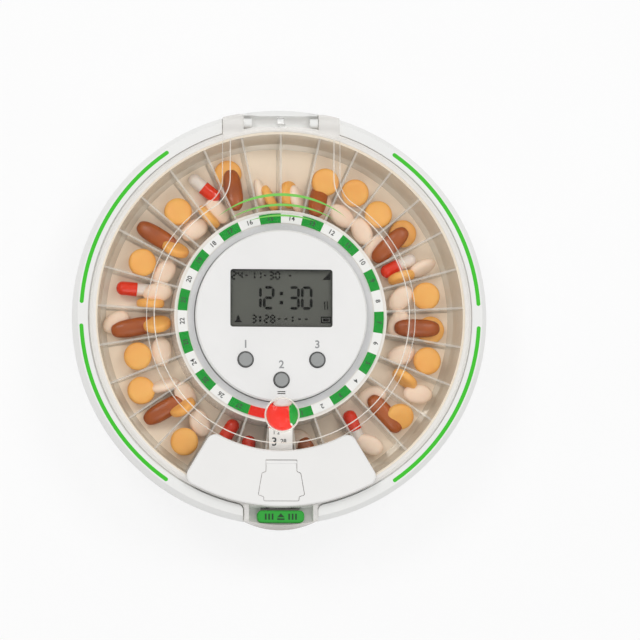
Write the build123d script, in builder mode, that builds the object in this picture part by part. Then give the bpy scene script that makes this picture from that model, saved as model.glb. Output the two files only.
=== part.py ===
"""Automatic pill dispenser: a round table-top box whose tray turns one cell on at each dose.

The origin is at the centre of the base, on the table, with +Z up. The lid is hinged on the +Y side
and its latch is on the -Y side. Millimetres throughout.
"""
from build123d import *
import os
from math import acos, asin, cos, degrees, pi, radians, sin, sqrt, tan

# ---------------------------------------------------------------- driving dimensions
body_radius = 110.0          # widest outline of the base
rim_height = 50.0            # top of the base's rim above the table
foot_height = 2.0
side_inset = 8.5             # how much narrower the base is at its foot
rim_width = 8.0              # from the outline in to the lid's recess
rim_band_height = 10.0       # the solid band under the rim
rim_slope_width = 2.6
rim_slope_drop = 4.0
wall = 2.5                   # housing wall
deck_height = 24.0           # top of the deck that carries the tray
deck_thickness = 2.0
ledge_depth = 3.5            # lid's seat below the rim
console_radius = 45.5
console_rise = 5.0           # console above the rim
console_cover_thickness = 2.5
console_edge = 0.8
console_spigot = 2.2         # ring under the console's cover that centres it
console_spigot_wall = 1.4
hub_wall = 2.0

cell_count = 29              # 28 doses and the home cell
tray_sink = 0.3              # top of the cell walls below the rim
tray_floor_thickness = 1.5
track_height = 1.0           # the rails on the deck that the tray slides on
track_width = 2.0
divider_thickness = 1.1
tray_wall = 1.4
tray_draft = 1.6             # how much the cell walls lean in over their height
floor_fillet = 4.0
hub_ring_step = 10.9         # outer face of the tray's inner wall, from the console's edge
hub_ring_draft = 1.2
hub_ring_wall = 1.6
hub_flange_thickness = 1.5
hub_flare_height = 2.5       # from the ring gear's wall up to the hub's own
label_step = 4.2             # label ring's inner edge, from the console's edge
label_width = 5.0
label_thickness = 0.8
label_tongue_width = 12.5

teeth_per_cell = 3
ring_gear_step = 3.44        # pitch circle of the tray's ring gear, from the console's edge
drive_teeth = 16
motor_teeth = 12
gear_width = 6.0
gear_lift = 1.6              # gears above the deck
gear_backlash = 0.22         # taken off each tooth, on the pitch circle
tooth_overrun = 0.4          # the ring's tooth gaps are cut this far past its tips
pressure_angle = 20.0
gear_line_angle = 180.0      # the gears lie towards -X
gear_pin_radius = 1.5
motor_shaft_radius = 1.0
motor_radius = 12.0
motor_headroom = 2.5         # motor to board
gear_plate_thickness = 1.6
gear_plate_width = 46.0
gear_plate_end = 4.0         # plate beyond its inner posts
gear_boss = 1.3              # wall of the boss under the drive gear
gear_room = 1.0              # round the drive gear, in the hub's window
shaft_clear = 2.0            # round the motor's shaft, in the gear plate
shaft_depth = 3.0            # shaft inside the motor
plate_post_radius = 2.6
sensor_angle = 150.0
sensor_body = (5.0, 8.0, 8.0)
sensor_nose = (3.0, 4.4)

lid_proud = 3.0              # lid's flat ring above the rim
lid_thickness = 2.0
lid_rim_width = 2.2
lid_edge_bevel = 1.5
plateau_rise = 5.5
plateau_step = 14.6          # foot of the raised middle, from the tray's inner wall
plateau_slope_width = 3.7
neck_half_width = 31.0
neck_flare = 15.6
hollow_inset = 1.0           # lid's raised middle is hollow; its wall at the foot
lens_radius = 9.3
lens_crown = 3.0             # top of the lens above the raised middle
lens_bulge = 2.2             # underside of the lens below its seat
lens_edge = 0.6
lens_bevel = 0.6
lens_seat_radius = 8.2

hinge_inset = 1.0            # hinge axis out from the lid's recess
hinge_drop = 2.0             # hinge axis below the rim
hinge_pin_radius = 1.25
hinge_pin_recess = 0.5
ear_inner = 20.0
ear_outer = 31.0
ear_radius = 4.8
lug_radius = 2.4
lug_inner = 15.5
trough_radius = 4.1
hinge_flat = 2.4             # back edge of the lid, in from the hinge axis
light_radius = 1.9
light_flange_radius = 2.5
light_flange = 1.4
light_length = 5.2
light_reach = 3.4            # end of the alarm light, out from the hinge axis
light_notch = 3.1            # lid's edge at the alarm light, in from the hinge axis
light_edge = 0.6
light_stand = 2.4            # width of the pedestal under the alarm light
seat_overlap = 0.5           # pieces of one moulding reach this far into each other

plate_half_angle = 31.0
plate_thickness = 2.2
plate_corner = 5.0
plate_bevel = 0.6
door_margin = 2.9            # door's outer end to the plate's edge
door_length = 21.5
door_neck_length = 6.1
door_lip_length = 3.2
door_neck_half = 8.1
door_shoulder_half = 10.2
door_wide_half = 12.2
door_lip_half = 9.3
door_corner = 0.8
door_edge = 0.25
door_thickness = 1.8
door_lift = 0.1
door_pin_radius = 0.6
door_pin_half = 11.0
door_knuckle_radius = 1.1
window_margin = 2.3          # dose window's outer edge inside the door's
window_length = 15.0
window_inner_half = 6.3
window_outer_half = 8.6
window_corner = 1.2

tab_half_width = 19.4
tab_wall = 2.4
tab_reach = 0.3              # inner face of the lid's front wall, out from the outline
tab_corner_wall = 0.2        # the same at the wall's two ends
tab_bulge = 2.9              # front of the lid's finger lip, out from the outline
tab_drop = 7.0               # bottom of the tab below the rim
tab_lip_slope = 1.6          # the finger lip's face leans in by this much at its top
tab_corner = 3.2             # rounding of the rim's corners beside the tab
latch_depth = 7.8            # floor of the latch pocket below the rim
button_half_width = 12.4
button_corner = 2.4
button_rise = 1.5
button_cap_height = 6.1
button_edge = 0.5
stem_half_width = 7.0
stem_thickness = 3.7
catch_plate_half_width = 10.0
catch_plate_thickness = 0.9
catch_strip = 1.4            # the strip that the lid's hook holds on to
hook_half_width = 6.0
hook_thickness = 1.1
hook_nose = 2.7              # how far the hook's nose stands out
hook_overlap = 1.3           # the nose's flat top under the catch plate
hook_slope = 1.5             # fall of the nose's face for each step outwards
spring_thickness = 0.4
spring_width = 6.0
well_depth = 8.2             # well of the button's stem, below the latch pocket's floor
stem_reach = 0.5             # stem below the hook's nose
hook_lip = 0.6               # thickness of the nose's tip

display_width = 54.2
display_height = 30.6
display_corner = 1.5
display_centre_y = 9.3
display_lap = 1.5            # window pane behind the cover, on each side
display_thickness = 2.4
window_pane_thickness = 1.4
display_border = 2.0         # display beyond its window, on each side
connector_width = 2.2
connector_inset = 4.0        # connector's ends inside the display's window
key_radius = 4.1
key_rise = 1.1               # keys above the console
key_edge = 0.5
key_flange = 0.9
key_lift = 0.2               # flange to the cover above it
key_travel = 0.6
dome_radius_low = 3.4
dome_radius_high = 2.2
key_places = ((-19.0, -23.3), (0, -34.0), (19.0, -23.3))
speaker_slots_y = (-40.2, -41.2)
speaker_slot = (4.2, 0.5)
speaker_place = (14.0, -25.0)
speaker_size = (8.0, 4.5)    # radius and depth
radio_place = (20.0, 14.0)
radio_board = (20.0, 16.0, 1.0)
radio_can = (14.0, 13.0, 1.8)
radio_can_shift = 2.0        # can on its board, towards the middle
main_chip = (0, -8.0, 10.0)  # place and width
small_chips = ((-8.0, 28.0), (6.0, 29.0))
small_chip = (6.0, 4.0)
chip_height = 1.5
board_drop = 6.5             # board below the console's cover
board_thickness = 1.6
board_margin = 2.5
board_post_inset = 4.0
board_post_radius = 3.0
board_screw_radius = 1.1
board_screw_head = 1.4
board_screw_length = 8.0

battery_radius = 7.1         # AA cells
battery_length = 49.5
battery_pitch = 14.8
nub_radius = 2.75
nub_length = 1.2
contact_size = 11.0
contact_thickness = 0.4
contact_spring_length = 2.9
spring_radius_low = 4.2
spring_radius_high = 2.6
bay_wall = 1.8
cover_thickness = 2.5
battery_door_thickness = 2.0
door_grip = (16.0, 6.0)      # finger groove in the battery door
door_grip_inset = 7.0
door_tab_width = 3.2
door_tab_thickness = 0.8
door_tab_reach = 2.0
foot_radius = 7.0
foot_recess = 1.0
foot_inset = 16.7            # feet and screws, in from the cover's edge
screw_inset = 12.7
screw_head_radius = 2.8
screw_head_depth = 1.8
screw_radius = 1.25
screw_length = 10.0
boss_wall = 1.2

stripe_inset = 4.45
stripe_width = 2.1
stripe_depth = 0.6
stripe_spans = ((4.0, 55.0), (125.0, 176.0), (183.0, 235.0), (305.0, 357.0))

# ---------------------------------------------------------------- clearances
lid_gap = 0.7                # lid to base, all round
tab_gap = 0.5                # lid's tab to the sides of its notch
well_gap = 0.1               # base's well inside the lid's rim
tray_gap = 0.6               # tray to well
hub_gap = 0.4                # tray to console
part_gap = 0.3               # between pieces that pass each other
door_gap = 0.2               # dose door to its opening
running_gap = 0.06           # pin in a bore that turns
seat_gap = 0.02              # pin in its seat
spring_gap = 0.1             # battery contacts and springs, at each end
dome_gap = 0.05              # rubber dome to the key above it

# ---------------------------------------------------------------- derived sizes
recess_radius = body_radius - rim_width
lid_radius = recess_radius - lid_gap
lid_rim_inner = lid_radius - lid_rim_width
well_radius = lid_rim_inner - well_gap
tray_radius = well_radius - tray_gap
base_bottom_radius = body_radius - side_inset
ledge_height = rim_height - ledge_depth
band_bottom = rim_height - rim_band_height
deck_underside = deck_height - deck_thickness
console_height = rim_height + console_rise
hub_top = console_height - console_cover_thickness
hub_inner = console_radius - hub_wall

tray_height = rim_height - tray_sink
tray_bottom = deck_height + track_height
tray_floor_top = tray_bottom + tray_floor_thickness
wall_inner_top = tray_radius - tray_wall
wall_inner_bottom = wall_inner_top - tray_draft
floor_edge = wall_inner_bottom - floor_fillet
hub_ring_radius = console_radius + hub_ring_step
hub_ring_bottom_radius = hub_ring_radius + hub_ring_draft
tray_bore = console_radius + hub_gap
label_inner_radius = console_radius + label_step
label_outer_radius = label_inner_radius + label_width
label_middle_radius = (label_inner_radius + label_outer_radius) / 2
cell_angle = 360 / cell_count
home_angle = 270.0           # the home cell's middle, at the latch

ring_teeth = cell_count * teeth_per_cell
ring_pitch_radius = console_radius + ring_gear_step
gear_module = 2 * ring_pitch_radius / ring_teeth
drive_pitch_radius = drive_teeth * gear_module / 2
motor_pitch_radius = motor_teeth * gear_module / 2
drive_centre = ring_pitch_radius - drive_pitch_radius
motor_centre = drive_centre - drive_pitch_radius - motor_pitch_radius
ring_tip_radius = ring_pitch_radius - 0.75 * gear_module
ring_root_radius = ring_pitch_radius + 1.15 * gear_module
ring_outer_radius = ring_root_radius + hub_ring_wall
drive_tip_radius = drive_pitch_radius + 0.85 * gear_module
drive_root_radius = drive_pitch_radius - 1.15 * gear_module
motor_tip_radius = motor_pitch_radius + 0.8 * gear_module
motor_root_radius = motor_pitch_radius - 1.15 * gear_module
gear_bottom = deck_height + gear_lift
gear_top = gear_bottom + gear_width
gear_plate_bottom = gear_top + part_gap
gear_plate_top = gear_plate_bottom + gear_plate_thickness
ring_gear_top = gear_top + 2 * part_gap

board_height = hub_top - board_drop
board_top = board_height + board_thickness
board_radius = hub_inner - board_margin
board_post_circle = board_radius - board_post_inset
motor_length = board_height - gear_plate_top - motor_headroom
sensor_height = gear_plate_top + sensor_nose[1] / 2
key_flange_bottom = hub_top - key_flange - key_travel

lid_height = rim_height + lid_proud
lid_underside = lid_height - lid_thickness
plateau_height = lid_height + plateau_rise
plateau_foot_radius = hub_ring_radius + plateau_step
label_tongue_end = plateau_foot_radius + 6.0
lens_centre_radius = label_middle_radius + 0.5
hinge_y = recess_radius + hinge_inset
hinge_z = rim_height - hinge_drop

plate_inner_radius = plateau_foot_radius + part_gap
plate_outer_radius = lid_radius - 2 * part_gap
door_outer = plate_outer_radius - door_margin
door_inner = door_outer - door_length
door_neck_end = door_inner + door_neck_length
door_wide_end = door_outer - door_lip_length
door_pin_y = door_inner + door_knuckle_radius
door_pin_z = lid_height + door_lift + door_knuckle_radius
window_outer = door_outer - window_margin
window_inner = window_outer - window_length

latch_floor = rim_height - latch_depth
button_inner = recess_radius + 0.7
button_outer = body_radius - 0.8
button_top = rim_height + button_rise
button_cap_bottom = button_top - button_cap_height
catch_inner = lid_radius + 0.1
stem_inner = catch_inner + catch_strip + part_gap
stem_outer = stem_inner + stem_thickness
catch_outer = stem_outer + 2.5 * part_gap
hook_outer = catch_inner - part_gap
hook_inner = hook_outer - hook_thickness
hook_top = latch_floor - part_gap
hook_face_gap = 0.2
well_floor = latch_floor - well_depth
well_width = 2 * (stem_half_width + part_gap)

cover_top = foot_height + cover_thickness
cover_radius = base_bottom_radius - wall - part_gap
foot_circle = cover_radius - foot_inset
screw_circle = cover_radius - screw_inset
battery_bay_width = 4 * battery_pitch + 1.0
battery_bay_length = battery_length + 2 * contact_thickness + contact_spring_length + 0.2
battery_door_bottom = foot_height + 0.2
battery_door_top = battery_door_bottom + battery_door_thickness
battery_height = battery_door_top + part_gap + battery_radius
door_hinge_y = -battery_bay_length / 2 + part_gap
door_axis_y = door_hinge_y + battery_door_thickness / 2
door_axis_z = battery_door_bottom + battery_door_thickness / 2
stripe_radius = body_radius - stripe_inset

os.makedirs("parts", exist_ok=True)


def save(builder, name):
    """Name a finished piece and write it."""
    builder.part.label = name
    export_step(builder.part, f"parts/{name}.step")
    box = builder.part.bounding_box().size
    print(f"{name:24s} {len(builder.part.solids()):3d} solids  {box.X:7.2f} {box.Y:7.2f} {box.Z:7.2f}")


def polar(radius, angle):
    """A point at a radius and an angle in degrees."""
    return (radius * cos(radians(angle)), radius * sin(radians(angle)))


def stripe_path(start, end):
    """The middle line of one of the rim's stripes."""
    return Edge.make_circle(stripe_radius, start_angle=start, end_angle=end)


# ---------------------------------------------------------------- gears
def involute(angle):
    """The involute function of an angle in radians."""
    return tan(angle) - angle


def gear_points(teeth, root_radius, tip_radius, thinning, flank_steps, phase):
    """Corners of a spur gear's outline, one tooth after the other.

    The flanks are involutes of the pressure angle, thinned by half the backlash on each side, and
    run straight in to the root below the base circle. The phase turns the first tooth's middle.
    """
    pitch_radius = teeth * gear_module / 2
    base_radius = pitch_radius * cos(radians(pressure_angle))
    half_tooth = pi / teeth / 2 - thinning / pitch_radius / 2

    def half_angle(radius):
        at = acos(base_radius / max(radius, base_radius))
        return half_tooth + involute(radians(pressure_angle)) - involute(at)

    flank_start = max(root_radius, base_radius)
    radii = [flank_start + (tip_radius - flank_start) * i / flank_steps for i in range(flank_steps + 1)]
    if root_radius < flank_start:
        radii = [root_radius] + radii
    flank = [(radius, half_angle(radius)) for radius in radii]
    points = []
    for tooth in range(teeth):
        middle = radians(phase) + 2 * pi * tooth / teeth
        rising = [(radius, middle - half) for radius, half in flank]
        falling = [(radius, middle + half) for radius, half in reversed(flank)]
        points += [(radius * cos(at), radius * sin(at)) for radius, at in rising + falling]
    return points


drive_place = polar(drive_centre, gear_line_angle)
motor_place = polar(motor_centre, gear_line_angle)
plate_posts = [(x, hand * y) for hand in (-1, 1) for x, y in ((-12.5, 16.0), (motor_place[0] - 7.8, 19.5))]

# ---------------------------------------------------------------- base housing
bulge_height = 0.38 * rim_height
side_bulge = base_bottom_radius + 0.7 * side_inset
with BuildPart() as base_shell:
    with BuildSketch(Plane.XZ):
        with BuildLine():
            side = ThreePointArc(
                (base_bottom_radius, foot_height),
                (side_bulge, bulge_height),
                (body_radius, band_bottom),
            )
            Polyline(
                side @ 1,
                (body_radius, rim_height - rim_slope_drop),
                (body_radius - rim_slope_width, rim_height),
                (recess_radius, rim_height),
                (recess_radius, ledge_height),
                (well_radius, ledge_height),
                (well_radius, deck_height),
                (console_radius, deck_height),
                (console_radius, hub_top),
                (hub_inner, hub_top),
                (hub_inner, deck_height),
                (0, deck_height),
                (0, deck_underside),
                (well_radius + hub_wall, deck_underside),
                (well_radius + hub_wall, band_bottom),
                (body_radius - wall, band_bottom),
                (side_bulge - wall, bulge_height),
                (base_bottom_radius - wall, foot_height),
                side @ 0,
            )
        make_face()
    revolve(axis=Axis.Z)

    # the rails that the tray slides on
    for rail_radius in (hub_ring_bottom_radius + 3, floor_edge - 3):
        with BuildSketch(Plane.XY.offset(deck_height)):
            Circle(rail_radius)
            Circle(rail_radius - track_width, mode=Mode.SUBTRACT)
        extrude(amount=track_height)

    # hinge: a trough behind the lid's edge, a pocket for each ear and a lug beside it
    with BuildSketch(Plane.YZ):
        with Locations((hinge_y, hinge_z)):
            Circle(trough_radius)
    extrude(amount=ear_inner - part_gap, both=True, mode=Mode.SUBTRACT)
    for hand in (-1, 1):
        with BuildSketch(Plane.YZ.offset(hand * (ear_inner - part_gap))):
            with Locations((hinge_y, hinge_z)):
                Circle(ear_radius + part_gap)
                Rectangle(2.5 * ear_radius, 2 * (ear_radius + part_gap), align=(Align.MAX, Align.CENTER))
            with Locations((hinge_y, hinge_z)):
                Rectangle(2 * rim_width, ear_radius, align=(Align.MIN, Align.MIN))
        extrude(amount=hand * (ear_outer - ear_inner + 2 * part_gap), mode=Mode.SUBTRACT)
        with BuildSketch(Plane.YZ.offset(hand * lug_inner)):
            with Locations((hinge_y, hinge_z)):
                Circle(lug_radius)
                Rectangle(2 * lug_radius, trough_radius + seat_overlap, align=(Align.CENTER, Align.MAX))
                Circle(hinge_pin_radius + seat_gap, mode=Mode.SUBTRACT)
        extrude(amount=hand * (ear_inner - part_gap - lug_inner))

    # pedestal of the alarm light, in the trough
    with BuildSketch(Plane.XY.offset(hinge_z - trough_radius - seat_overlap)):
        with Locations((0, hinge_y + light_reach - (light_length - light_flange) / 2)):
            Rectangle(light_stand, light_length - light_flange - 2 * part_gap)
    extrude(amount=trough_radius + seat_overlap - light_radius)

    # front notch for the lid's tab; a solid block holds the well of the catch and the button
    with BuildSketch(Plane.XY.offset(well_floor - wall)):
        with Locations((0, -well_radius)):
            Rectangle(well_width + 2 * hub_wall, rim_width + wall, align=(Align.CENTER, Align.MAX))
        Circle(well_radius, mode=Mode.SUBTRACT)
        Circle(body_radius - wall, mode=Mode.INTERSECT)
    extrude(amount=band_bottom - well_floor + wall)
    with BuildSketch(Plane.XY.offset(latch_floor)):
        with Locations((0, -recess_radius + rim_width / 2)):
            Rectangle(2 * (tab_half_width + tab_gap), 2 * rim_width, align=(Align.CENTER, Align.MAX))
        Circle(recess_radius, mode=Mode.SUBTRACT)
        with Locations((0, -catch_inner + part_gap)):
            Rectangle(2 * (catch_plate_half_width + part_gap), rim_width, align=(Align.CENTER, Align.MAX))
    extrude(amount=latch_depth, mode=Mode.SUBTRACT)
    with BuildSketch(Plane.XY.offset(well_floor)):
        with Locations((0, -stem_outer - part_gap)):
            Rectangle(well_width, stem_outer + part_gap - hook_inner + hook_face_gap,
                      align=(Align.CENTER, Align.MIN))
    extrude(amount=rim_height - well_floor, mode=Mode.SUBTRACT)

    with BuildSketch(Plane.XY.offset(ledge_height)) as opening:
        Circle(recess_radius)
        with Locations((0, -well_radius)):
            Rectangle(2 * (tab_half_width + tab_gap), 2 * rim_width, align=(Align.CENTER, Align.MAX))
        fillet([v for v in opening.vertices() if v.Y > -recess_radius], tab_corner)
        Circle(well_radius, mode=Mode.SUBTRACT)
    extrude(amount=rim_height - ledge_height, mode=Mode.SUBTRACT)

    # grooves for the rim's stripes
    for start, end in stripe_spans:
        with BuildSketch(Plane.XY.offset(rim_height)):
            SlotArc(stripe_path(start, end), stripe_width)
        extrude(amount=-stripe_depth, mode=Mode.SUBTRACT)

    # windows in the hub for the drive gear and the index sensor
    with BuildSketch(Plane.XY.offset(deck_height)):
        with Locations(drive_place):
            Circle(drive_tip_radius + gear_room)
    extrude(amount=gear_plate_bottom - deck_height, mode=Mode.SUBTRACT)
    with BuildSketch(Plane.XY.offset(sensor_height)):
        with Locations(Location(polar(console_radius, sensor_angle), sensor_angle)):
            Rectangle(3 * hub_wall, sensor_nose[0] + 2 * part_gap)
    extrude(amount=sensor_nose[1] + 2 * part_gap, mode=Mode.SUBTRACT)

    # gear boss, posts of the gear plate, posts of the board
    with BuildSketch(Plane.XY.offset(deck_height)):
        with Locations(drive_place):
            Circle(gear_pin_radius + gear_boss)
    extrude(amount=gear_lift - part_gap)
    with BuildSketch(Plane.XY.offset(deck_height)):
        with Locations(*plate_posts):
            Circle(plate_post_radius)
    extrude(amount=gear_plate_bottom - deck_height)
    with BuildSketch(Plane.XY.offset(deck_height)):
        with PolarLocations(board_post_circle, 4, start_angle=45):
            Circle(board_post_radius)
            Circle(board_screw_radius + seat_gap, mode=Mode.SUBTRACT)
    extrude(amount=board_height - deck_height)
    with BuildSketch(Plane.XY.offset(deck_underside)):
        with Locations(drive_place):
            Circle(gear_pin_radius + seat_gap)
    extrude(amount=gear_bottom - deck_underside, mode=Mode.SUBTRACT)

    # screw bosses and battery bay under the deck
    with BuildSketch(Plane.XY.offset(deck_underside)):
        with PolarLocations(screw_circle, 4, start_angle=45):
            Circle(screw_head_radius + boss_wall)
            Circle(screw_radius + seat_gap, mode=Mode.SUBTRACT)
        Rectangle(battery_bay_width + 2 * bay_wall, battery_bay_length + 2 * bay_wall)
        Rectangle(battery_bay_width, battery_bay_length, mode=Mode.SUBTRACT)
    extrude(amount=cover_top - deck_underside)
    with BuildSketch(Plane.XY.offset(cover_top)):
        with Locations(*[(hand * battery_pitch, door_hinge_y) for hand in (-1, 1)]):
            Rectangle(door_tab_width + 2 * part_gap, 4 * door_tab_reach)
    extrude(amount=2 * door_tab_reach, mode=Mode.SUBTRACT)
save(base_shell, "base_shell")

with BuildPart() as rim_stripes:
    for start, end in stripe_spans:
        with BuildSketch(Plane.XY.offset(rim_height)):
            SlotArc(stripe_path(start, end), stripe_width)
        extrude(amount=-stripe_depth)
save(rim_stripes, "rim_stripes")

# ---------------------------------------------------------------- underside
with BuildPart() as bottom_cover:
    with BuildSketch(Plane.XY.offset(foot_height)):
        Circle(cover_radius)
        Rectangle(battery_bay_width, battery_bay_length, mode=Mode.SUBTRACT)
    extrude(amount=cover_thickness)
    with BuildSketch(Plane.XY.offset(foot_height)):
        with PolarLocations(screw_circle, 4, start_angle=45):
            Circle(screw_radius + running_gap)
    extrude(amount=cover_thickness, mode=Mode.SUBTRACT)
    with BuildSketch(Plane.XY.offset(foot_height)):
        with PolarLocations(screw_circle, 4, start_angle=45):
            Circle(screw_head_radius + part_gap)
    extrude(amount=screw_head_depth, mode=Mode.SUBTRACT)
    with BuildSketch(Plane.XY.offset(foot_height)):
        with PolarLocations(foot_circle, 4):
            Circle(foot_radius + seat_gap)
    extrude(amount=foot_recess, mode=Mode.SUBTRACT)
save(bottom_cover, "bottom_cover")

with BuildPart() as cover_screws:
    with BuildSketch(Plane.XY.offset(foot_height + part_gap)):
        with PolarLocations(screw_circle, 4, start_angle=45):
            Circle(screw_head_radius)
    extrude(amount=screw_head_depth - part_gap)
    with BuildSketch(Plane.XY.offset(foot_height + screw_head_depth)):
        with PolarLocations(screw_circle, 4, start_angle=45):
            Circle(screw_radius)
    extrude(amount=screw_length)
save(cover_screws, "cover_screws")

with BuildPart() as feet:
    with BuildSketch(Plane.XY):
        with PolarLocations(foot_circle, 4):
            Circle(foot_radius)
    extrude(amount=foot_height + foot_recess)
save(feet, "feet")

with BuildPart() as battery_door:
    with BuildSketch(Plane.XY.offset(battery_door_bottom)):
        with Locations((0, door_axis_y)):
            Rectangle(battery_bay_width - 2 * part_gap, battery_bay_length / 2 - part_gap - door_axis_y,
                      align=(Align.CENTER, Align.MIN))
    extrude(amount=battery_door_thickness)
    with BuildSketch(Plane.YZ):
        with Locations((door_axis_y, door_axis_z)):
            Circle(battery_door_thickness / 2)
    extrude(amount=battery_bay_width / 2 - part_gap, both=True)
    with BuildSketch(Plane.XY.offset(battery_door_bottom)):
        with Locations((0, battery_bay_length / 2 - door_grip_inset)):
            SlotOverall(*door_grip)
    extrude(amount=battery_door_thickness / 2, mode=Mode.SUBTRACT)
    # the tabs that hook over the cover's edge and let the door swing down
    for hand in (-1, 1):
        with BuildSketch(Plane.YZ.offset(hand * battery_pitch)):
            with BuildLine():
                Polyline(
                    (door_hinge_y + door_tab_thickness, door_axis_z),
                    (door_hinge_y, door_axis_z),
                    (door_hinge_y, cover_top + spring_gap),
                    (door_hinge_y - door_tab_reach, cover_top + spring_gap),
                    (door_hinge_y - door_tab_reach, cover_top + spring_gap + door_tab_thickness),
                    (door_hinge_y + door_tab_thickness, cover_top + spring_gap + door_tab_thickness),
                    close=True,
                )
            make_face()
        extrude(amount=door_tab_width / 2, both=True)
save(battery_door, "battery_door")

# ---------------------------------------------------------------- batteries
battery_xs = [(i - 1.5) * battery_pitch for i in range(4)]
battery_hands = [1 if i % 2 == 0 else -1 for i in range(4)]
contact_face = battery_bay_length / 2 - contact_thickness
nub_end = contact_face - spring_gap
with BuildPart() as batteries:
    for x, hand in zip(battery_xs, battery_hands):
        with BuildSketch(Plane.XZ.offset(-hand * (nub_end - nub_length))):
            with Locations((x, battery_height)):
                Circle(battery_radius)
        extrude(amount=hand * (battery_length - nub_length))
        with BuildSketch(Plane.XZ.offset(-hand * nub_end)):
            with Locations((x, battery_height)):
                Circle(nub_radius)
        extrude(amount=hand * nub_length)
save(batteries, "batteries")

with BuildPart() as battery_contacts:
    for end in (-1, 1):
        with BuildSketch(Plane.XZ.offset(end * contact_face)):
            with Locations(*[(x, battery_height) for x in battery_xs]):
                Rectangle(contact_size, contact_size)
        extrude(amount=end * contact_thickness)
save(battery_contacts, "battery_contacts")

with BuildPart() as contact_springs:
    for x, hand in zip(battery_xs, battery_hands):
        with BuildSketch(Plane.XZ.offset(hand * contact_face)):
            with Locations((x, battery_height)):
                Circle(spring_radius_low)
        with BuildSketch(Plane.XZ.offset(hand * (contact_face - contact_spring_length + spring_gap))):
            with Locations((x, battery_height)):
                Circle(spring_radius_high)
        loft()
save(contact_springs, "contact_springs")

# ---------------------------------------------------------------- tray
with BuildPart() as tray_floor:
    with BuildSketch(Plane.XY.offset(tray_bottom)):
        Circle(floor_edge)
        Circle(hub_ring_bottom_radius, mode=Mode.SUBTRACT)
    extrude(amount=tray_floor_thickness)
save(tray_floor, "tray_floor")

with BuildPart() as tray_outer_wall:
    with BuildSketch(Plane.XZ):
        with BuildLine():
            Polyline(
                (floor_edge, tray_bottom),
                (wall_inner_bottom + tray_wall - 1, tray_bottom),
                (wall_inner_bottom + tray_wall, tray_bottom + 1),
                (tray_radius, tray_height),
                (wall_inner_top, tray_height),
                (wall_inner_bottom, tray_floor_top + floor_fillet),
                (wall_inner_bottom - 0.3 * floor_fillet, tray_floor_top + 0.3 * floor_fillet),
                (floor_edge, tray_floor_top),
                close=True,
            )
        make_face()
    revolve(axis=Axis.Z)
save(tray_outer_wall, "tray_outer_wall")

with BuildPart() as tray_hub:
    with BuildSketch(Plane.XZ):
        with BuildLine():
            Polyline(
                (tray_bore, tray_height),
                (hub_ring_radius, tray_height),
                (hub_ring_bottom_radius, tray_floor_top),
                (hub_ring_bottom_radius, tray_bottom),
                (ring_tip_radius, tray_bottom),
                (ring_tip_radius, ring_gear_top),
                (ring_outer_radius, ring_gear_top),
                (hub_ring_radius - hub_ring_wall, ring_gear_top + hub_flare_height),
                (hub_ring_radius - hub_ring_wall, tray_height - hub_flange_thickness),
                (tray_bore, tray_height - hub_flange_thickness),
                close=True,
            )
        make_face()
    revolve(axis=Axis.Z)
    # the internal teeth that the drive gear turns
    with BuildSketch(Plane.XY.offset(tray_bottom)):
        with BuildLine():
            Polyline(*gear_points(ring_teeth, ring_tip_radius - tooth_overrun, ring_root_radius,
                                  -gear_backlash / 2, 1, gear_line_angle), close=True)
        make_face()
    extrude(amount=ring_gear_top - tray_bottom, mode=Mode.SUBTRACT)
save(tray_hub, "tray_hub")

with BuildPart() as divider:
    with BuildSketch(Plane.XZ):
        with BuildLine():
            Polyline(
                (hub_ring_bottom_radius, tray_floor_top),
                (floor_edge, tray_floor_top),
                (wall_inner_bottom - 0.3 * floor_fillet, tray_floor_top + 0.3 * floor_fillet),
                (wall_inner_bottom, tray_floor_top + floor_fillet),
                (wall_inner_top, tray_height),
                (hub_ring_radius, tray_height),
                close=True,
            )
        make_face()
    revolve(axis=Axis.Z)
    with BuildSketch(Plane.XY.offset(tray_floor_top)):
        Rectangle(tray_radius, divider_thickness, align=(Align.MIN, Align.CENTER))
    extrude(amount=tray_height - tray_floor_top, mode=Mode.INTERSECT)
with BuildPart() as tray_dividers:
    with PolarLocations(0, cell_count, start_angle=home_angle + cell_angle / 2):
        add(divider.part)
save(tray_dividers, "tray_dividers")

with BuildPart() as label_ring:
    with BuildSketch(Plane.XY.offset(tray_height)):
        Circle(label_outer_radius)
        with Locations((0, -label_middle_radius)):
            Rectangle(label_tongue_width, label_tongue_end - label_middle_radius,
                      align=(Align.CENTER, Align.MAX))
        Circle(label_inner_radius, mode=Mode.SUBTRACT)
    extrude(amount=label_thickness)
save(label_ring, "label_ring")

# ---------------------------------------------------------------- drive
with BuildPart() as drive_gear:
    with BuildSketch(Plane(origin=(*drive_place, gear_bottom))):
        with BuildLine():
            Polyline(*gear_points(drive_teeth, drive_root_radius, drive_tip_radius, gear_backlash / 2, 2,
                                  gear_line_angle), close=True)
        make_face()
        Circle(gear_pin_radius + running_gap, mode=Mode.SUBTRACT)
    extrude(amount=gear_width)
save(drive_gear, "drive_gear")

with BuildPart() as motor_pinion:
    with BuildSketch(Plane(origin=(*motor_place, gear_bottom))):
        with BuildLine():
            Polyline(*gear_points(motor_teeth, motor_root_radius, motor_tip_radius, gear_backlash / 2, 2,
                                  gear_line_angle + 180 / motor_teeth), close=True)
        make_face()
        Circle(motor_shaft_radius + seat_gap, mode=Mode.SUBTRACT)
    extrude(amount=gear_width)
save(motor_pinion, "motor_pinion")

with BuildPart() as motor_shaft:
    with BuildSketch(Plane(origin=(*motor_place, gear_bottom))):
        Circle(motor_shaft_radius)
    extrude(amount=gear_plate_top + shaft_depth - gear_bottom)
save(motor_shaft, "motor_shaft")

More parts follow.
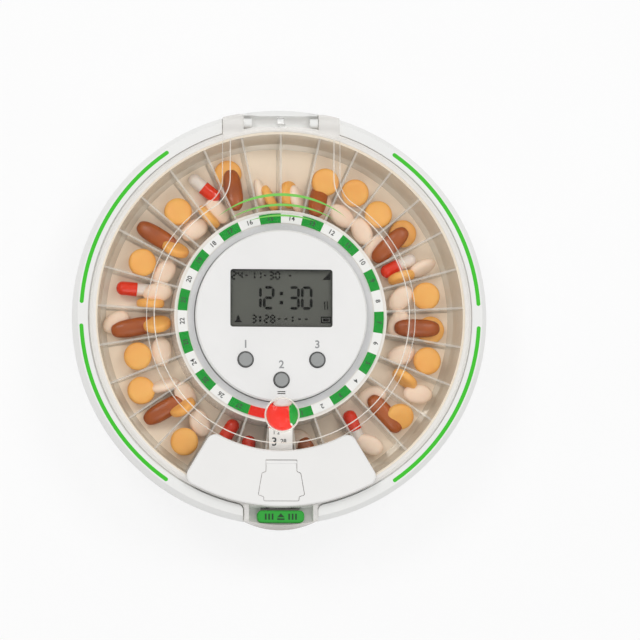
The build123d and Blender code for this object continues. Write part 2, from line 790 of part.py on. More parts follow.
with BuildPart() as gear_pin:
    with BuildSketch(Plane(origin=(*drive_place, deck_underside))):
        Circle(gear_pin_radius)
    extrude(amount=gear_plate_top - deck_underside)
save(gear_pin, "gear_pin")

with BuildPart() as gear_plate:
    with BuildSketch(Plane.XY.offset(gear_plate_bottom)):
        with Locations((plate_posts[0][0] + gear_plate_end, 0)):
            Rectangle(2 * hub_inner, gear_plate_width, align=(Align.MAX, Align.CENTER))
        Circle(hub_inner - part_gap, mode=Mode.INTERSECT)
        with Locations(motor_place):
            Circle(motor_shaft_radius + shaft_clear, mode=Mode.SUBTRACT)
        with Locations(drive_place):
            Circle(gear_pin_radius + seat_gap, mode=Mode.SUBTRACT)
    extrude(amount=gear_plate_thickness)
save(gear_plate, "gear_plate")

with BuildPart() as motor:
    with BuildSketch(Plane(origin=(*motor_place, gear_plate_top))):
        Circle(motor_radius)
    extrude(amount=motor_length)
    with BuildSketch(Plane(origin=(*motor_place, gear_plate_top))):
        Circle(motor_shaft_radius + running_gap)
    extrude(amount=shaft_depth + part_gap, mode=Mode.SUBTRACT)
save(motor, "motor")

with BuildPart() as index_sensor:
    with BuildSketch(Plane.XY.offset(gear_plate_top)):
        with Locations(Location(polar(hub_inner - part_gap, sensor_angle), sensor_angle)):
            Rectangle(*sensor_body[:2], align=(Align.MAX, Align.CENTER))
    extrude(amount=sensor_body[2])
    with BuildSketch(Plane.XY.offset(sensor_height + part_gap)):
        with Locations(Location(polar(console_radius - part_gap, sensor_angle), sensor_angle)):
            Rectangle(2 * hub_wall, sensor_nose[0], align=(Align.MAX, Align.CENTER))
    extrude(amount=sensor_nose[1])
save(index_sensor, "index_sensor")

# ---------------------------------------------------------------- console
with BuildPart() as console_cover:
    with BuildSketch(Plane.XY.offset(hub_top)):
        Circle(console_radius)
    extrude(amount=console_cover_thickness)
    chamfer(console_cover.edges().group_by(Axis.Z)[-1], console_edge)
    with BuildSketch(Plane.XY.offset(hub_top)):
        Circle(hub_inner - seat_gap)
        Circle(hub_inner - console_spigot_wall, mode=Mode.SUBTRACT)
    extrude(amount=-console_spigot)
    with BuildSketch(Plane.XY.offset(hub_top)):
        with Locations((0, display_centre_y)):
            RectangleRounded(display_width, display_height, display_corner)
        with Locations(*key_places):
            Circle(key_radius + part_gap)
        with Locations(*[(0, y) for y in speaker_slots_y]):
            Rectangle(*speaker_slot)
    extrude(amount=console_cover_thickness, mode=Mode.SUBTRACT)
    with BuildSketch(Plane.XY.offset(hub_top)):
        with Locations((0, display_centre_y)):
            Rectangle(display_width + 2 * display_lap + 2 * seat_gap,
                      display_height + 2 * display_lap + 2 * seat_gap)
    extrude(amount=window_pane_thickness, mode=Mode.SUBTRACT)
save(console_cover, "console_cover")

with BuildPart() as display_window:
    with BuildSketch(Plane.XY.offset(hub_top)):
        with Locations((0, display_centre_y)):
            Rectangle(display_width + 2 * display_lap, display_height + 2 * display_lap)
    extrude(amount=window_pane_thickness)
save(display_window, "display_window")

with BuildPart() as display_module:
    with BuildSketch(Plane.XY.offset(hub_top - display_thickness)):
        with Locations((0, display_centre_y)):
            Rectangle(display_width + 2 * display_border, display_height + 2 * display_border)
    extrude(amount=display_thickness)
save(display_module, "display_module")

connector_place = (display_height - connector_width) / 2
with BuildPart() as display_connectors:
    with BuildSketch(Plane.XY.offset(board_top)):
        with Locations(*[(0, display_centre_y + hand * connector_place) for hand in (-1, 1)]):
            Rectangle(display_width - 2 * connector_inset, connector_width)
    extrude(amount=hub_top - display_thickness - board_top)
save(display_connectors, "display_connectors")

with BuildPart() as main_board:
    with BuildSketch(Plane.XY.offset(board_height)):
        Circle(board_radius)
        with PolarLocations(board_post_circle, 4, start_angle=45):
            Circle(board_screw_radius + seat_gap, mode=Mode.SUBTRACT)
    extrude(amount=board_thickness)
save(main_board, "main_board")

with BuildPart() as board_screws:
    with BuildSketch(Plane.XY.offset(board_top)):
        with PolarLocations(board_post_circle, 4, start_angle=45):
            Circle(2 * board_screw_radius)
    extrude(amount=board_screw_head)
    with BuildSketch(Plane.XY.offset(board_top)):
        with PolarLocations(board_post_circle, 4, start_angle=45):
            Circle(board_screw_radius)
    extrude(amount=-board_screw_length)
save(board_screws, "board_screws")

with BuildPart() as speaker:
    with BuildSketch(Plane.XY.offset(board_height)):
        with Locations(speaker_place):
            Circle(speaker_size[0])
    extrude(amount=-speaker_size[1])
save(speaker, "speaker")

with BuildPart() as radio_module:
    with BuildSketch(Plane.XY.offset(board_height)):
        with Locations(radio_place):
            Rectangle(*radio_board[:2])
    extrude(amount=-radio_board[2])
    with BuildSketch(Plane.XY.offset(board_height - radio_board[2])):
        with Locations((radio_place[0] - radio_can_shift, radio_place[1])):
            Rectangle(*radio_can[:2])
    extrude(amount=-radio_can[2])
save(radio_module, "radio_module")

with BuildPart() as board_chips:
    with BuildSketch(Plane.XY.offset(board_height)):
        with Locations(main_chip[:2]):
            Rectangle(main_chip[2], main_chip[2])
        with Locations(*small_chips):
            Rectangle(*small_chip)
    extrude(amount=-chip_height)
save(board_chips, "board_chips")

with BuildPart() as key_domes:
    for place in key_places:
        with BuildSketch(Plane(origin=(*place, board_top))):
            Circle(dome_radius_low)
        with BuildSketch(Plane(origin=(*place, key_flange_bottom - dome_gap))):
            Circle(dome_radius_high)
        loft()
save(key_domes, "key_domes")

for name, place in zip(("left_key", "middle_key", "right_key"), key_places):
    with BuildPart() as key:
        with BuildSketch(Plane(origin=(*place, key_flange_bottom))):
            Circle(key_radius + key_flange)
        extrude(amount=key_flange + key_travel - key_lift)
        with BuildSketch(Plane(origin=(*place, key_flange_bottom))):
            Circle(key_radius)
        extrude(amount=console_height + key_rise - key_flange_bottom)
        chamfer(key.edges().group_by(Axis.Z)[-1], key_edge)
    save(key, name)

# ---------------------------------------------------------------- alarm light and hinge pins
light_back = hinge_y + light_reach - light_length
with BuildPart() as alarm_light:
    with BuildSketch(Plane.XZ.offset(-light_back)):
        with Locations((0, hinge_z)):
            Circle(light_flange_radius)
    extrude(amount=-light_flange)
    with BuildSketch(Plane.XZ.offset(-light_back)):
        with Locations((0, hinge_z)):
            Circle(light_radius)
    extrude(amount=-light_length)
    chamfer(alarm_light.edges().group_by(Axis.Y)[-1], light_edge)
save(alarm_light, "alarm_light")

with BuildPart() as hinge_pins:
    for hand in (-1, 1):
        with BuildSketch(Plane.YZ.offset(hand * lug_inner)):
            with Locations((hinge_y, hinge_z)):
                Circle(hinge_pin_radius)
        extrude(amount=hand * (ear_outer - hinge_pin_recess - lug_inner))
save(hinge_pins, "hinge_pins")

# ---------------------------------------------------------------- latch
nose_reach = hook_outer + hook_nose
nose_flat = hook_outer + hook_overlap
nose_low = hook_top - hook_slope * (nose_reach - nose_flat)
stem_chamfer_top = hook_top - hook_slope * (stem_inner - nose_flat - hook_face_gap)
stem_bottom = nose_low - stem_reach
with BuildPart() as latch_button:
    with BuildSketch(Plane.XY.offset(button_cap_bottom)):
        with Locations((0, -(button_inner + button_outer) / 2)):
            RectangleRounded(2 * button_half_width, button_outer - button_inner, button_corner)
    extrude(amount=button_cap_height)
    chamfer(latch_button.edges().group_by(Axis.Z)[-1], button_edge)
    with BuildSketch(Plane.YZ):
        with BuildLine():
            Polyline(
                (-stem_inner, button_cap_bottom),
                (-stem_inner, stem_chamfer_top),
                (-stem_inner - (stem_chamfer_top - stem_bottom) / hook_slope, stem_bottom),
                (-stem_outer, stem_bottom),
                (-stem_outer, button_cap_bottom),
                close=True,
            )
        make_face()
    extrude(amount=stem_half_width, both=True)
save(latch_button, "latch_button")

with BuildPart() as catch_plate:
    with BuildSketch(Plane.XY.offset(latch_floor)):
        with Locations((0, -catch_inner)):
            Rectangle(2 * catch_plate_half_width, catch_outer - catch_inner, align=(Align.CENTER, Align.MAX))
        with Locations((0, -stem_inner + part_gap)):
            Rectangle(well_width, stem_thickness + 2 * part_gap, align=(Align.CENTER, Align.MAX),
                      mode=Mode.SUBTRACT)
    extrude(amount=catch_plate_thickness)
save(catch_plate, "catch_plate")

with BuildPart() as lid_hook:
    with BuildSketch(Plane.YZ):
        with BuildLine():
            Polyline(
                (-hook_inner, ledge_height),
                (-hook_outer, ledge_height),
                (-hook_outer, hook_top),
                (-nose_flat, hook_top),
                (-nose_reach, nose_low),
                (-nose_reach, nose_low - hook_lip),
                (-hook_inner, nose_low - 2 * hook_lip),
                close=True,
            )
        make_face()
    extrude(amount=hook_half_width, both=True)
save(lid_hook, "lid_hook")

with BuildPart() as button_spring:
    with BuildSketch(Plane.YZ):
        with BuildLine():
            Polyline(
                (-stem_outer, well_floor),
                (-stem_inner, well_floor),
                (-stem_outer + 1.5 * spring_thickness, stem_bottom),
                (-stem_outer, stem_bottom),
                (-stem_inner - 1.5 * spring_thickness, well_floor + spring_thickness),
                (-stem_outer, well_floor + spring_thickness),
                close=True,
            )
        make_face()
    extrude(amount=spring_width / 2, both=True)
save(button_spring, "button_spring")


# ---------------------------------------------------------------- lid
def keyhole(inset):
    """Outline of the lid's raised middle with its neck to the hinge, drawn in by an inset."""
    radius = plateau_foot_radius - inset
    half_width = neck_half_width - inset
    with BuildSketch() as outline:
        Circle(radius)
        Rectangle(2 * half_width, body_radius, align=(Align.CENTER, Align.MIN))
        joints = [v for v in outline.vertices() if abs(abs(v.X) - half_width) < 0.01 and v.Y < radius]
        fillet(joints, neck_flare + inset)
        Circle(lid_rim_inner - inset, mode=Mode.INTERSECT)
    return outline.sketch


# the tab's two rails and the leaning wall of its finger lip, clear of the base's wall under the ledge
corner_y = -sqrt(body_radius ** 2 - tab_half_width ** 2)
inner_half = tab_half_width - tab_wall
tab_bottom = rim_height - tab_drop
with BuildPart() as finger_tab:
    for height, bulge in ((tab_bottom, tab_bulge), (lid_height, tab_bulge - tab_lip_slope)):
        with BuildSketch(Plane.XY.offset(height)):
            with BuildLine():
                Polyline((tab_half_width, corner_y), (tab_half_width, -lid_rim_inner),
                         (-tab_half_width, -lid_rim_inner), (-tab_half_width, corner_y))
                ThreePointArc((-tab_half_width, corner_y), (0, -body_radius - bulge),
                              (tab_half_width, corner_y))
            make_face()
    loft(ruled=True)
    with BuildSketch(Plane.XY.offset(tab_bottom)):
        with BuildLine():
            Polyline((inner_half, corner_y - tab_corner_wall), (inner_half, -lid_rim_inner),
                     (-inner_half, -lid_rim_inner), (-inner_half, corner_y - tab_corner_wall))
            ThreePointArc((-inner_half, corner_y - tab_corner_wall), (0, -body_radius - tab_reach),
                          (inner_half, corner_y - tab_corner_wall))
        make_face()
    extrude(amount=lid_height - tab_bottom, mode=Mode.SUBTRACT)
    with BuildSketch(Plane.XY.offset(tab_bottom)):
        Circle(recess_radius + part_gap)
    extrude(amount=ledge_height - tab_bottom, mode=Mode.SUBTRACT)

hollow_top_inset = hollow_inset + plateau_slope_width * (plateau_rise - lid_thickness) / plateau_rise
keyhole_foot = keyhole(0)
keyhole_top = keyhole(plateau_slope_width)
hollow_foot = keyhole(hollow_inset)
hollow_top = keyhole(hollow_top_inset + 1)

with BuildPart() as lid_shell:
    with BuildSketch(Plane.XZ):
        with BuildLine():
            Polyline(
                (0, lid_underside),
                (lid_rim_inner, lid_underside),
                (lid_rim_inner, ledge_height),
                (lid_radius, ledge_height),
                (lid_radius, lid_height - lid_edge_bevel),
                (lid_radius - lid_edge_bevel, lid_height),
                (0, lid_height),
                close=True,
            )
        make_face()
    revolve(axis=Axis.Z)

    # the raised middle and its hollow
    with BuildSketch(Plane.XY.offset(lid_height)):
        add(keyhole_foot)
    with BuildSketch(Plane.XY.offset(plateau_height)):
        add(keyhole_top)
    loft(ruled=True)
    with BuildSketch(Plane.XY.offset(lid_underside)):
        add(hollow_foot)
    with BuildSketch(Plane.XY.offset(plateau_height - lid_thickness)):
        add(hollow_top)
    loft(ruled=True, mode=Mode.SUBTRACT)

    # back edge between the hinge ears, with a notch for the alarm light
    with BuildSketch(Plane.XY.offset(ledge_height)):
        with Locations((0, hinge_y - hinge_flat)):
            Rectangle(2 * ear_inner, 2 * hinge_flat, align=(Align.CENTER, Align.MIN))
        with Locations((0, hinge_y - light_notch)):
            Rectangle(2 * (light_flange_radius + 2 * part_gap), light_notch, align=(Align.CENTER, Align.MIN))
    extrude(amount=plateau_height - ledge_height, mode=Mode.SUBTRACT)

    # hinge ears
    for hand in (-1, 1):
        with BuildSketch(Plane.YZ.offset(hand * ear_inner)):
            with Locations((hinge_y, hinge_z)):
                Circle(ear_radius)
            with Locations((hinge_y, ledge_height)):
                Rectangle(2 * ear_radius, hinge_z + ear_radius - ledge_height, align=(Align.MAX, Align.MIN))
        extrude(amount=hand * (ear_outer - ear_inner))
    with BuildSketch(Plane.XY.offset(hinge_z - ear_radius)):
        Circle(lid_rim_inner)
    extrude(amount=lid_underside - hinge_z + ear_radius, mode=Mode.SUBTRACT)
    with BuildSketch(Plane.XY.offset(hinge_z - ear_radius)):
        with Locations((0, hinge_y - ear_radius)):
            Rectangle(2 * ear_outer + 2, 4 * ear_radius, align=(Align.CENTER, Align.MIN))
        Circle(body_radius, mode=Mode.SUBTRACT)
    extrude(amount=2 * ear_radius, mode=Mode.SUBTRACT)
    with BuildSketch(Plane.YZ):
        with Locations((hinge_y, hinge_z)):
            Circle(hinge_pin_radius + running_gap)
    extrude(amount=ear_outer, both=True, mode=Mode.SUBTRACT)

    # front tab, and the rounded corners that run out to its rails
    add(finger_tab.part)
    with BuildSketch(Plane.XY.offset(ledge_height)) as flares:
        Circle(lid_radius)
        with Locations((0, -lid_rim_inner)):
            Rectangle(2 * tab_half_width, 2 * tab_corner, align=(Align.CENTER, Align.MAX))
        fillet([v for v in flares.vertices() if v.Y > -lid_radius], tab_corner + lid_gap)
        Circle(lid_radius, mode=Mode.SUBTRACT)
        Rectangle(2 * inner_half, 2 * body_radius, mode=Mode.SUBTRACT)
    extrude(amount=lid_height - lid_edge_bevel - ledge_height)

    # dose window and lens seat
    with BuildSketch(Plane.XY.offset(lid_underside)) as window:
        with BuildLine():
            Polyline(
                (-window_inner_half, -window_inner),
                (window_inner_half, -window_inner),
                (window_outer_half, -window_outer),
                (-window_outer_half, -window_outer),
                close=True,
            )
        make_face()
        fillet(window.vertices(), window_corner)
    extrude(amount=lid_thickness, mode=Mode.SUBTRACT)
    with BuildSketch(Plane.XY.offset(plateau_height - lid_thickness)):
        with Locations((0, -lens_centre_radius)):
            Circle(lens_seat_radius + seat_gap)
    extrude(amount=lid_thickness, mode=Mode.SUBTRACT)
save(lid_shell, "lid_shell")


def cap(half_width, rise):
    """Radius of a shallow cap, and the angle in degrees from its middle to its edge."""
    radius = (half_width ** 2 + rise ** 2) / (2 * rise)
    return radius, degrees(asin(half_width / radius))


lens_seat_bottom = plateau_height - lid_thickness
with BuildPart() as magnifier:
    with BuildSketch(Plane.XZ.offset(lens_centre_radius)):
        with BuildLine():
            radius, angle = cap(lens_radius - lens_bevel, lens_crown - lens_edge)
            crown = CenterArc((0, plateau_height + lens_crown - radius), radius, 90 - angle, angle)
            radius, angle = cap(lens_seat_radius, lens_bulge)
            bulge = CenterArc((0, lens_seat_bottom - lens_bulge + radius), radius, -90, angle)
            Line(crown @ 1, bulge @ 0)
            Polyline(
                bulge @ 1,
                (lens_seat_radius, plateau_height),
                (lens_radius, plateau_height),
                (lens_radius, plateau_height + lens_edge),
                crown @ 0,
            )
        make_face()
    revolve(axis=Axis((0, -lens_centre_radius, 0), (0, 0, 1)))
save(magnifier, "magnifier")

# ---------------------------------------------------------------- dispensing plate and its door
door_half = [
    (door_neck_half, -door_inner),
    (door_neck_half, -door_neck_end),
    (door_shoulder_half, -door_neck_end - 0.8),
    (door_wide_half, -door_wide_end),
    (door_lip_half, -door_wide_end - 1.0),
    (door_lip_half, -door_outer),
]
with BuildSketch() as door_outline:
    with BuildLine():
        Polyline(*door_half, *[(-x, y) for x, y in reversed(door_half)], close=True)
    make_face()
    fillet([v for v in door_outline.vertices() if v.Y < -door_inner - door_corner], door_corner)
door_face = door_outline.sketch

with BuildPart() as dispensing_plate:
    with BuildSketch(Plane.XY.offset(lid_height)) as plate_outline:
        Circle(plate_outer_radius)
        Circle(plate_inner_radius, mode=Mode.SUBTRACT)
        with BuildLine():
            Polyline((0, 0), polar(2 * body_radius, home_angle - plate_half_angle),
                     polar(2 * body_radius, home_angle + plate_half_angle), close=True)
        make_face(mode=Mode.INTERSECT)
        fillet(plate_outline.vertices(), plate_corner)
    extrude(amount=plate_thickness)
    chamfer(dispensing_plate.edges().group_by(Axis.Z)[-1], plate_bevel)
    with BuildSketch(Plane.XY.offset(lid_height)):
        add(door_face)
        offset(amount=door_gap, kind=Kind.INTERSECTION)
    extrude(amount=plate_thickness, mode=Mode.SUBTRACT)
    with BuildSketch(Plane.YZ):
        with Locations((-door_pin_y, door_pin_z)):
            Circle(door_pin_radius + seat_gap)
    extrude(amount=door_pin_half, both=True, mode=Mode.SUBTRACT)
save(dispensing_plate, "dispensing_plate")

with BuildPart() as dose_door:
    with BuildSketch(Plane.XY.offset(lid_height + door_lift)):
        add(door_face)
        with Locations((0, -door_inner)):
            Rectangle(3 * door_neck_half, door_knuckle_radius, align=(Align.CENTER, Align.MAX),
                      mode=Mode.SUBTRACT)
    extrude(amount=door_thickness)
    chamfer(dose_door.edges().group_by(Axis.Z)[-1], door_edge)
    with BuildSketch(Plane.YZ):
        with Locations((-door_pin_y, door_pin_z)):
            Circle(door_knuckle_radius)
    extrude(amount=door_neck_half, both=True)
    with BuildSketch(Plane.YZ):
        with Locations((-door_pin_y, door_pin_z)):
            Circle(door_pin_radius + running_gap)
    extrude(amount=door_neck_half, both=True, mode=Mode.SUBTRACT)
save(dose_door, "dose_door")

with BuildPart() as door_pin:
    with BuildSketch(Plane.YZ):
        with Locations((-door_pin_y, door_pin_z)):
            Circle(door_pin_radius)
    extrude(amount=door_pin_half, both=True)
save(door_pin, "door_pin")
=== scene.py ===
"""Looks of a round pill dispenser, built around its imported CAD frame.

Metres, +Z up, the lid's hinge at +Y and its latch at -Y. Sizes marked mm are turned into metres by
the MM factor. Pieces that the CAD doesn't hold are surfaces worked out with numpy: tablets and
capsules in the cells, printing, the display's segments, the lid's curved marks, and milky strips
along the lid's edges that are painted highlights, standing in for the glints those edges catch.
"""

import math

import bpy
import numpy as np
from mathutils import Matrix, Vector


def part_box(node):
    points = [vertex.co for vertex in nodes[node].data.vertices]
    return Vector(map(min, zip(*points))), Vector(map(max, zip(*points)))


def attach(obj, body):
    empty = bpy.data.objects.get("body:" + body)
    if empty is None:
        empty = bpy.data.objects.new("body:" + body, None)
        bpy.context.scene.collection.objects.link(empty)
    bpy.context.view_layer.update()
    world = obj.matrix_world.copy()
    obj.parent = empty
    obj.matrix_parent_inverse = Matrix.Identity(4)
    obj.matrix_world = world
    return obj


MM = 0.001

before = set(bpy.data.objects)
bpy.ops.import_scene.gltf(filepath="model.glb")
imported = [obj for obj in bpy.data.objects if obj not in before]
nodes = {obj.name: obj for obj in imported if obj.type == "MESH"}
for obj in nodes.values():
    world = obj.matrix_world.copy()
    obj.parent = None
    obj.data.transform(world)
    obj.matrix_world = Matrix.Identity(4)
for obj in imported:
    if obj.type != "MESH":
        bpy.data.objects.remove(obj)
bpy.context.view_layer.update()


def top_of(node):
    """Height of a CAD node's highest point, in metres."""
    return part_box(node)[1][2]


# ---------------------------------------------------------------- sizes read from the frame
tray_floor_top = top_of("tray_floor")
tray_top = top_of("tray_dividers")
label_top = top_of("label_ring")
plateau_top = top_of("lid_shell")
console_top = top_of("console_cover")
button_top = top_of("latch_button")
display_face = top_of("display_module")
print_lift = 0.05 * MM          # printing stands this far off its surface

CELLS = 29
CELL_TURN = 2 * math.pi / CELLS
HOME_TURN = math.radians(270)   # the home cell's middle, at the latch
KEY_PLACES = ((-19.0, -23.3), (0.0, -34.0), (19.0, -23.3))   # mm
LABEL_MIDDLE = 52.2 * MM
LABEL_OUTER = 54.8 * MM
LABEL_INNER = 2 * LABEL_MIDDLE - LABEL_OUTER
RED_TONGUE_END = 59.4 * MM      # the label's red runs this far out on its tongue
RED_TURN = math.radians(3.2)    # and this far past the home cell's middle
LENS_MIDDLE = (0.0, -52.7)      # mm
BUTTON_MIDDLE = -106.0 * MM
PRINT_THICKNESS = 0.03 * MM


# ---------------------------------------------------------------- colours
def srgb(red, green, blue):
    """Linear colour of an 8-bit sRGB one."""
    shares = np.array([red, green, blue]) / 255
    linear = np.where(shares <= 0.04045, shares / 12.92, ((shares + 0.055) / 1.055) ** 2.4)
    return (*linear.tolist(), 1.0)


# ---------------------------------------------------------------- material parts
class Finish:
    """A node material with one Principled shader, and short calls for the nodes that feed it."""

    def __init__(self, name):
        self.material = bpy.data.materials.new(name)
        self.material.use_nodes = True
        tree = self.material.node_tree
        tree.nodes.clear()
        self.nodes, self.links = tree.nodes, tree.links
        self.shader = self.add("ShaderNodeBsdfPrincipled")
        self.output = self.add("ShaderNodeOutputMaterial")
        self.join(self.shader.outputs["BSDF"], self.output.inputs["Surface"])
        self.place = self.add("ShaderNodeTexCoord").outputs["Object"]

    def add(self, kind, **settings):
        """A new node with its settings and plain socket values."""
        node = self.nodes.new(kind)
        for key, value in settings.items():
            if hasattr(node, key):
                setattr(node, key, value)
            else:
                node.inputs[key].default_value = value
        return node

    def join(self, source, target):
        """A link from one node's output socket to another's input socket."""
        self.links.new(source, target)

    def set(self, **values):
        """Plain values on the shader's own sockets: underscores stand for spaces."""
        for key, value in values.items():
            self.shader.inputs[key.replace("_", " ")].default_value = value
        return self

    def noise(self, scale, detail=3.0, roughness=0.55, place=None):
        """Noise from 0 to 1 with that many features to the metre."""
        node = self.add("ShaderNodeTexNoise", Scale=scale, Detail=detail, Roughness=roughness)
        self.join(place or self.place, node.inputs["Vector"])
        return node.outputs["Fac"]

    def math(self, operation, first, second=None):
        """One arithmetic step. Each input is a socket or a number."""
        node = self.add("ShaderNodeMath", operation=operation)
        for index, value in enumerate((first, second)):
            if value is None:
                continue
            if isinstance(value, (int, float)):
                node.inputs[index].default_value = value
            else:
                self.join(value, node.inputs[index])
        return node.outputs["Value"]

    def parts(self):
        """X, Y and Z of the place on the piece."""
        node = self.add("ShaderNodeSeparateXYZ")
        self.join(self.place, node.inputs["Vector"])
        return node.outputs["X"], node.outputs["Y"], node.outputs["Z"]

    def distance(self, x, y):
        """Length in plan: the square root of x squared plus y squared."""
        squares = self.math("ADD", self.math("MULTIPLY", x, x), self.math("MULTIPLY", y, y))
        return self.math("SQRT", squares)

    def ramp(self, factor, low, high, start=0.35, stop=0.65):
        """A value that goes from low to high while factor goes from start to stop."""
        node = self.add("ShaderNodeMapRange")
        self.join(factor, node.inputs["Value"])
        for name, value in (("From Min", start), ("From Max", stop), ("To Min", low), ("To Max", high)):
            node.inputs[name].default_value = value
        return node.outputs["Result"]

    def blend(self, factor, first, second):
        """Colour first where factor is 0 and second where it is 1. Each is a socket or a colour."""
        node = self.add("ShaderNodeMix", data_type="RGBA")
        self.join(factor, node.inputs["Factor"])
        colour_sockets = [s for s in node.inputs if s.type == "RGBA"]
        for socket, value in zip(colour_sockets, (first, second)):
            if isinstance(value, tuple):
                socket.default_value = value
            else:
                self.join(value, socket)
        return next(s for s in node.outputs if s.type == "RGBA")

    def bump(self, height, distance, strength=1.0):
        """Bump of that depth in metres on the shader's normal."""
        node = self.add("ShaderNodeBump", Strength=strength, Distance=distance)
        self.join(height, node.inputs["Height"])
        self.join(node.outputs["Normal"], self.shader.inputs["Normal"])
        return self

    def colour(self, socket):
        """The socket gives the shader's colour."""
        self.join(socket, self.shader.inputs["Base Color"])
        return self

    def rough(self, socket):
        """The socket gives the shader's roughness."""
        self.join(socket, self.shader.inputs["Roughness"])
        return self

    def mix(self, factor, first, second):
        """A shader that is first where factor is 0 and second where it is 1."""
        node = self.add("ShaderNodeMixShader")
        for socket, source in zip(node.inputs, (factor, first, second)):
            self.join(source, socket)
        return node.outputs["Shader"]

    def let_lamps_through(self, tint, seen=None):
        """Lamps' rays pass the surface as through a thin tinted film, so it casts a light shadow.

        Other rays meet the shader called seen, or else the plain one."""
        film = self.add("ShaderNodeBsdfTransparent", Color=tint)
        path = self.add("ShaderNodeLightPath")
        seen = seen or self.shader.outputs["BSDF"]
        either = self.mix(path.outputs["Is Shadow Ray"], seen, film.outputs["BSDF"])
        self.join(either, self.output.inputs["Surface"])
        return self


def moulded(name, colour, rough=0.32, grain=900.0, depth=0.003 * MM, mottle=0.03, **values):
    """Injection-moulded plastic: a faint mottle, a fine grain and a sheen that varies slowly."""
    finish = Finish(name)
    slow = finish.noise(35.0)
    darker = tuple(c * (1 - mottle) for c in colour[:3]) + (1.0,)
    finish.colour(finish.blend(finish.ramp(slow, 0.0, 1.0), colour, darker))
    finish.rough(finish.ramp(finish.noise(45.0, 2.0), rough - 0.02, rough + 0.03, 0.2, 0.8))
    finish.bump(finish.noise(grain, 2.0), depth)
    return finish.set(**values)


def clear_moulding(name, tint, rough, shadow_tint):
    """Thick clear plastic: it bends light, with faint flow marks and a thin shadow."""
    finish = Finish(name)
    flow = finish.noise(28.0, 2.0)
    finish.rough(finish.ramp(flow, rough, rough + 0.03))
    finish.bump(finish.noise(60.0, 2.0), 0.02 * MM, 0.4)
    finish.set(Base_Color=tint, Transmission_Weight=1.0, IOR=1.49)
    return finish.let_lamps_through(shadow_tint)


def clear_sheet(name, colour, haze, edge=0.9, gloss=0.4, rough=0.05, beyond=None, more_haze=0.5,
                lip=None):
    """Thin clear plastic: what is behind shows straight through a share of milky gloss.

    The share is the haze plus edge times the fifth power of how far the surface turns away, so
    the plastic looks white where it is seen edge-on. Beyond a height, or a distance from the
    Z axis, it has a haze of its own: on a wall's rounded top edge this is a painted highlight, the
    edge catching light, and a thick rim has it too. The lip goes from the plastic's colour to a
    painted shade between two Y places, because its face slopes down and away. Lamps' rays pass the sheet."""
    finish = Finish(name)
    finish.rough(finish.ramp(finish.noise(28.0, 2.0), rough, rough + 0.04))
    finish.bump(finish.noise(40.0, 1.0), 0.004 * MM, 0.2)
    finish.set(Base_Color=colour, Metallic=gloss)
    turned = finish.add("ShaderNodeLayerWeight", Blend=0.5).outputs["Facing"]
    base = haze
    if beyond is not None:
        axis, start = beyond
        x, y, z = finish.parts()
        place = finish.distance(x, y) if axis == "radius" else z
        past = finish.math("GREATER_THAN", place, start)
        base = finish.ramp(past, haze, more_haze, 0.0, 1.0)
    if lip is not None:
        # the lip's tone is painted shade, blended in between two Y places
        first, last, tone = lip
        _, y, _ = finish.parts()
        finish.colour(finish.blend(finish.ramp(y, 1.0, 0.0, last, first), colour, tone))
    share = finish.math("ADD", finish.math("MULTIPLY", finish.math("POWER", turned, 5.0), edge), base)
    share = finish.math("MINIMUM", share, 1.0)
    film = finish.add("ShaderNodeBsdfTransparent")
    either = finish.mix(share, film.outputs["BSDF"], finish.shader.outputs["BSDF"])
    return finish.let_lamps_through(srgb(254, 253, 251), either)


def metal(name, colour, rough, scale=(40.0, 40.0, 900.0)):
    """Metal with a drawn finish: noise stretched along one axis feeds roughness and bump."""
    finish = Finish(name)
    mapping = finish.add("ShaderNodeMapping", Scale=scale)
    finish.join(finish.place, mapping.inputs["Vector"])
    streak = finish.noise(1.0, 3.0, place=mapping.outputs["Vector"])
    darker = tuple(c * 0.86 for c in colour[:3]) + (1.0,)
    finish.colour(finish.blend(streak, colour, darker))
    finish.rough(finish.ramp(streak, rough - 0.06, rough + 0.08))
    finish.bump(streak, 0.006 * MM)
    return finish.set(Metallic=1.0)


def tablet_coat(name, colour, deep, rough=0.42, grain=1500.0):
    """Pressed tablet: powdery grain, small pale specks and a soft skin."""
    finish = Finish(name)
    speck = finish.ramp(finish.noise(700.0, 4.0, 0.7), 0.0, 1.0, 0.30, 0.75)
    patch = finish.noise(90.0, 2.0)
    base = finish.blend(finish.ramp(patch, 0.0, 0.8), colour, deep)
    pale = tuple(min(1.0, c * 1.08) for c in colour[:3]) + (1.0,)
    finish.colour(finish.blend(finish.math("MULTIPLY", speck, 0.35), base, pale))
    finish.rough(finish.ramp(speck, rough, rough + 0.12))
    finish.bump(finish.noise(grain, 3.0), 0.03 * MM)
    return finish.set(Subsurface_Weight=0.12, Subsurface_Radius=(2 * MM, 1.2 * MM, 0.8 * MM))


def key_cap(name, middle_x, middle_y):
    """Grey rubber key with painted shade on its rounded edge: the distance from its middle sets it."""
    finish = Finish(name)
    x, y, _ = finish.parts()
    x = finish.math("SUBTRACT", x, middle_x * MM)
    y = finish.math("SUBTRACT", y, middle_y * MM)
    edge = finish.ramp(finish.distance(x, y), 0.0, 1.0, 3.3 * MM, 3.6 * MM)
    grain = finish.noise(1800.0, 2.0)
    # the darker rim colour is painted shade on the key's rounded edge
    finish.colour(finish.blend(edge, srgb(154, 156, 156), srgb(88, 90, 90)))
    finish.rough(finish.ramp(grain, 0.42, 0.5))
    finish.bump(grain, 0.01 * MM)
    return finish


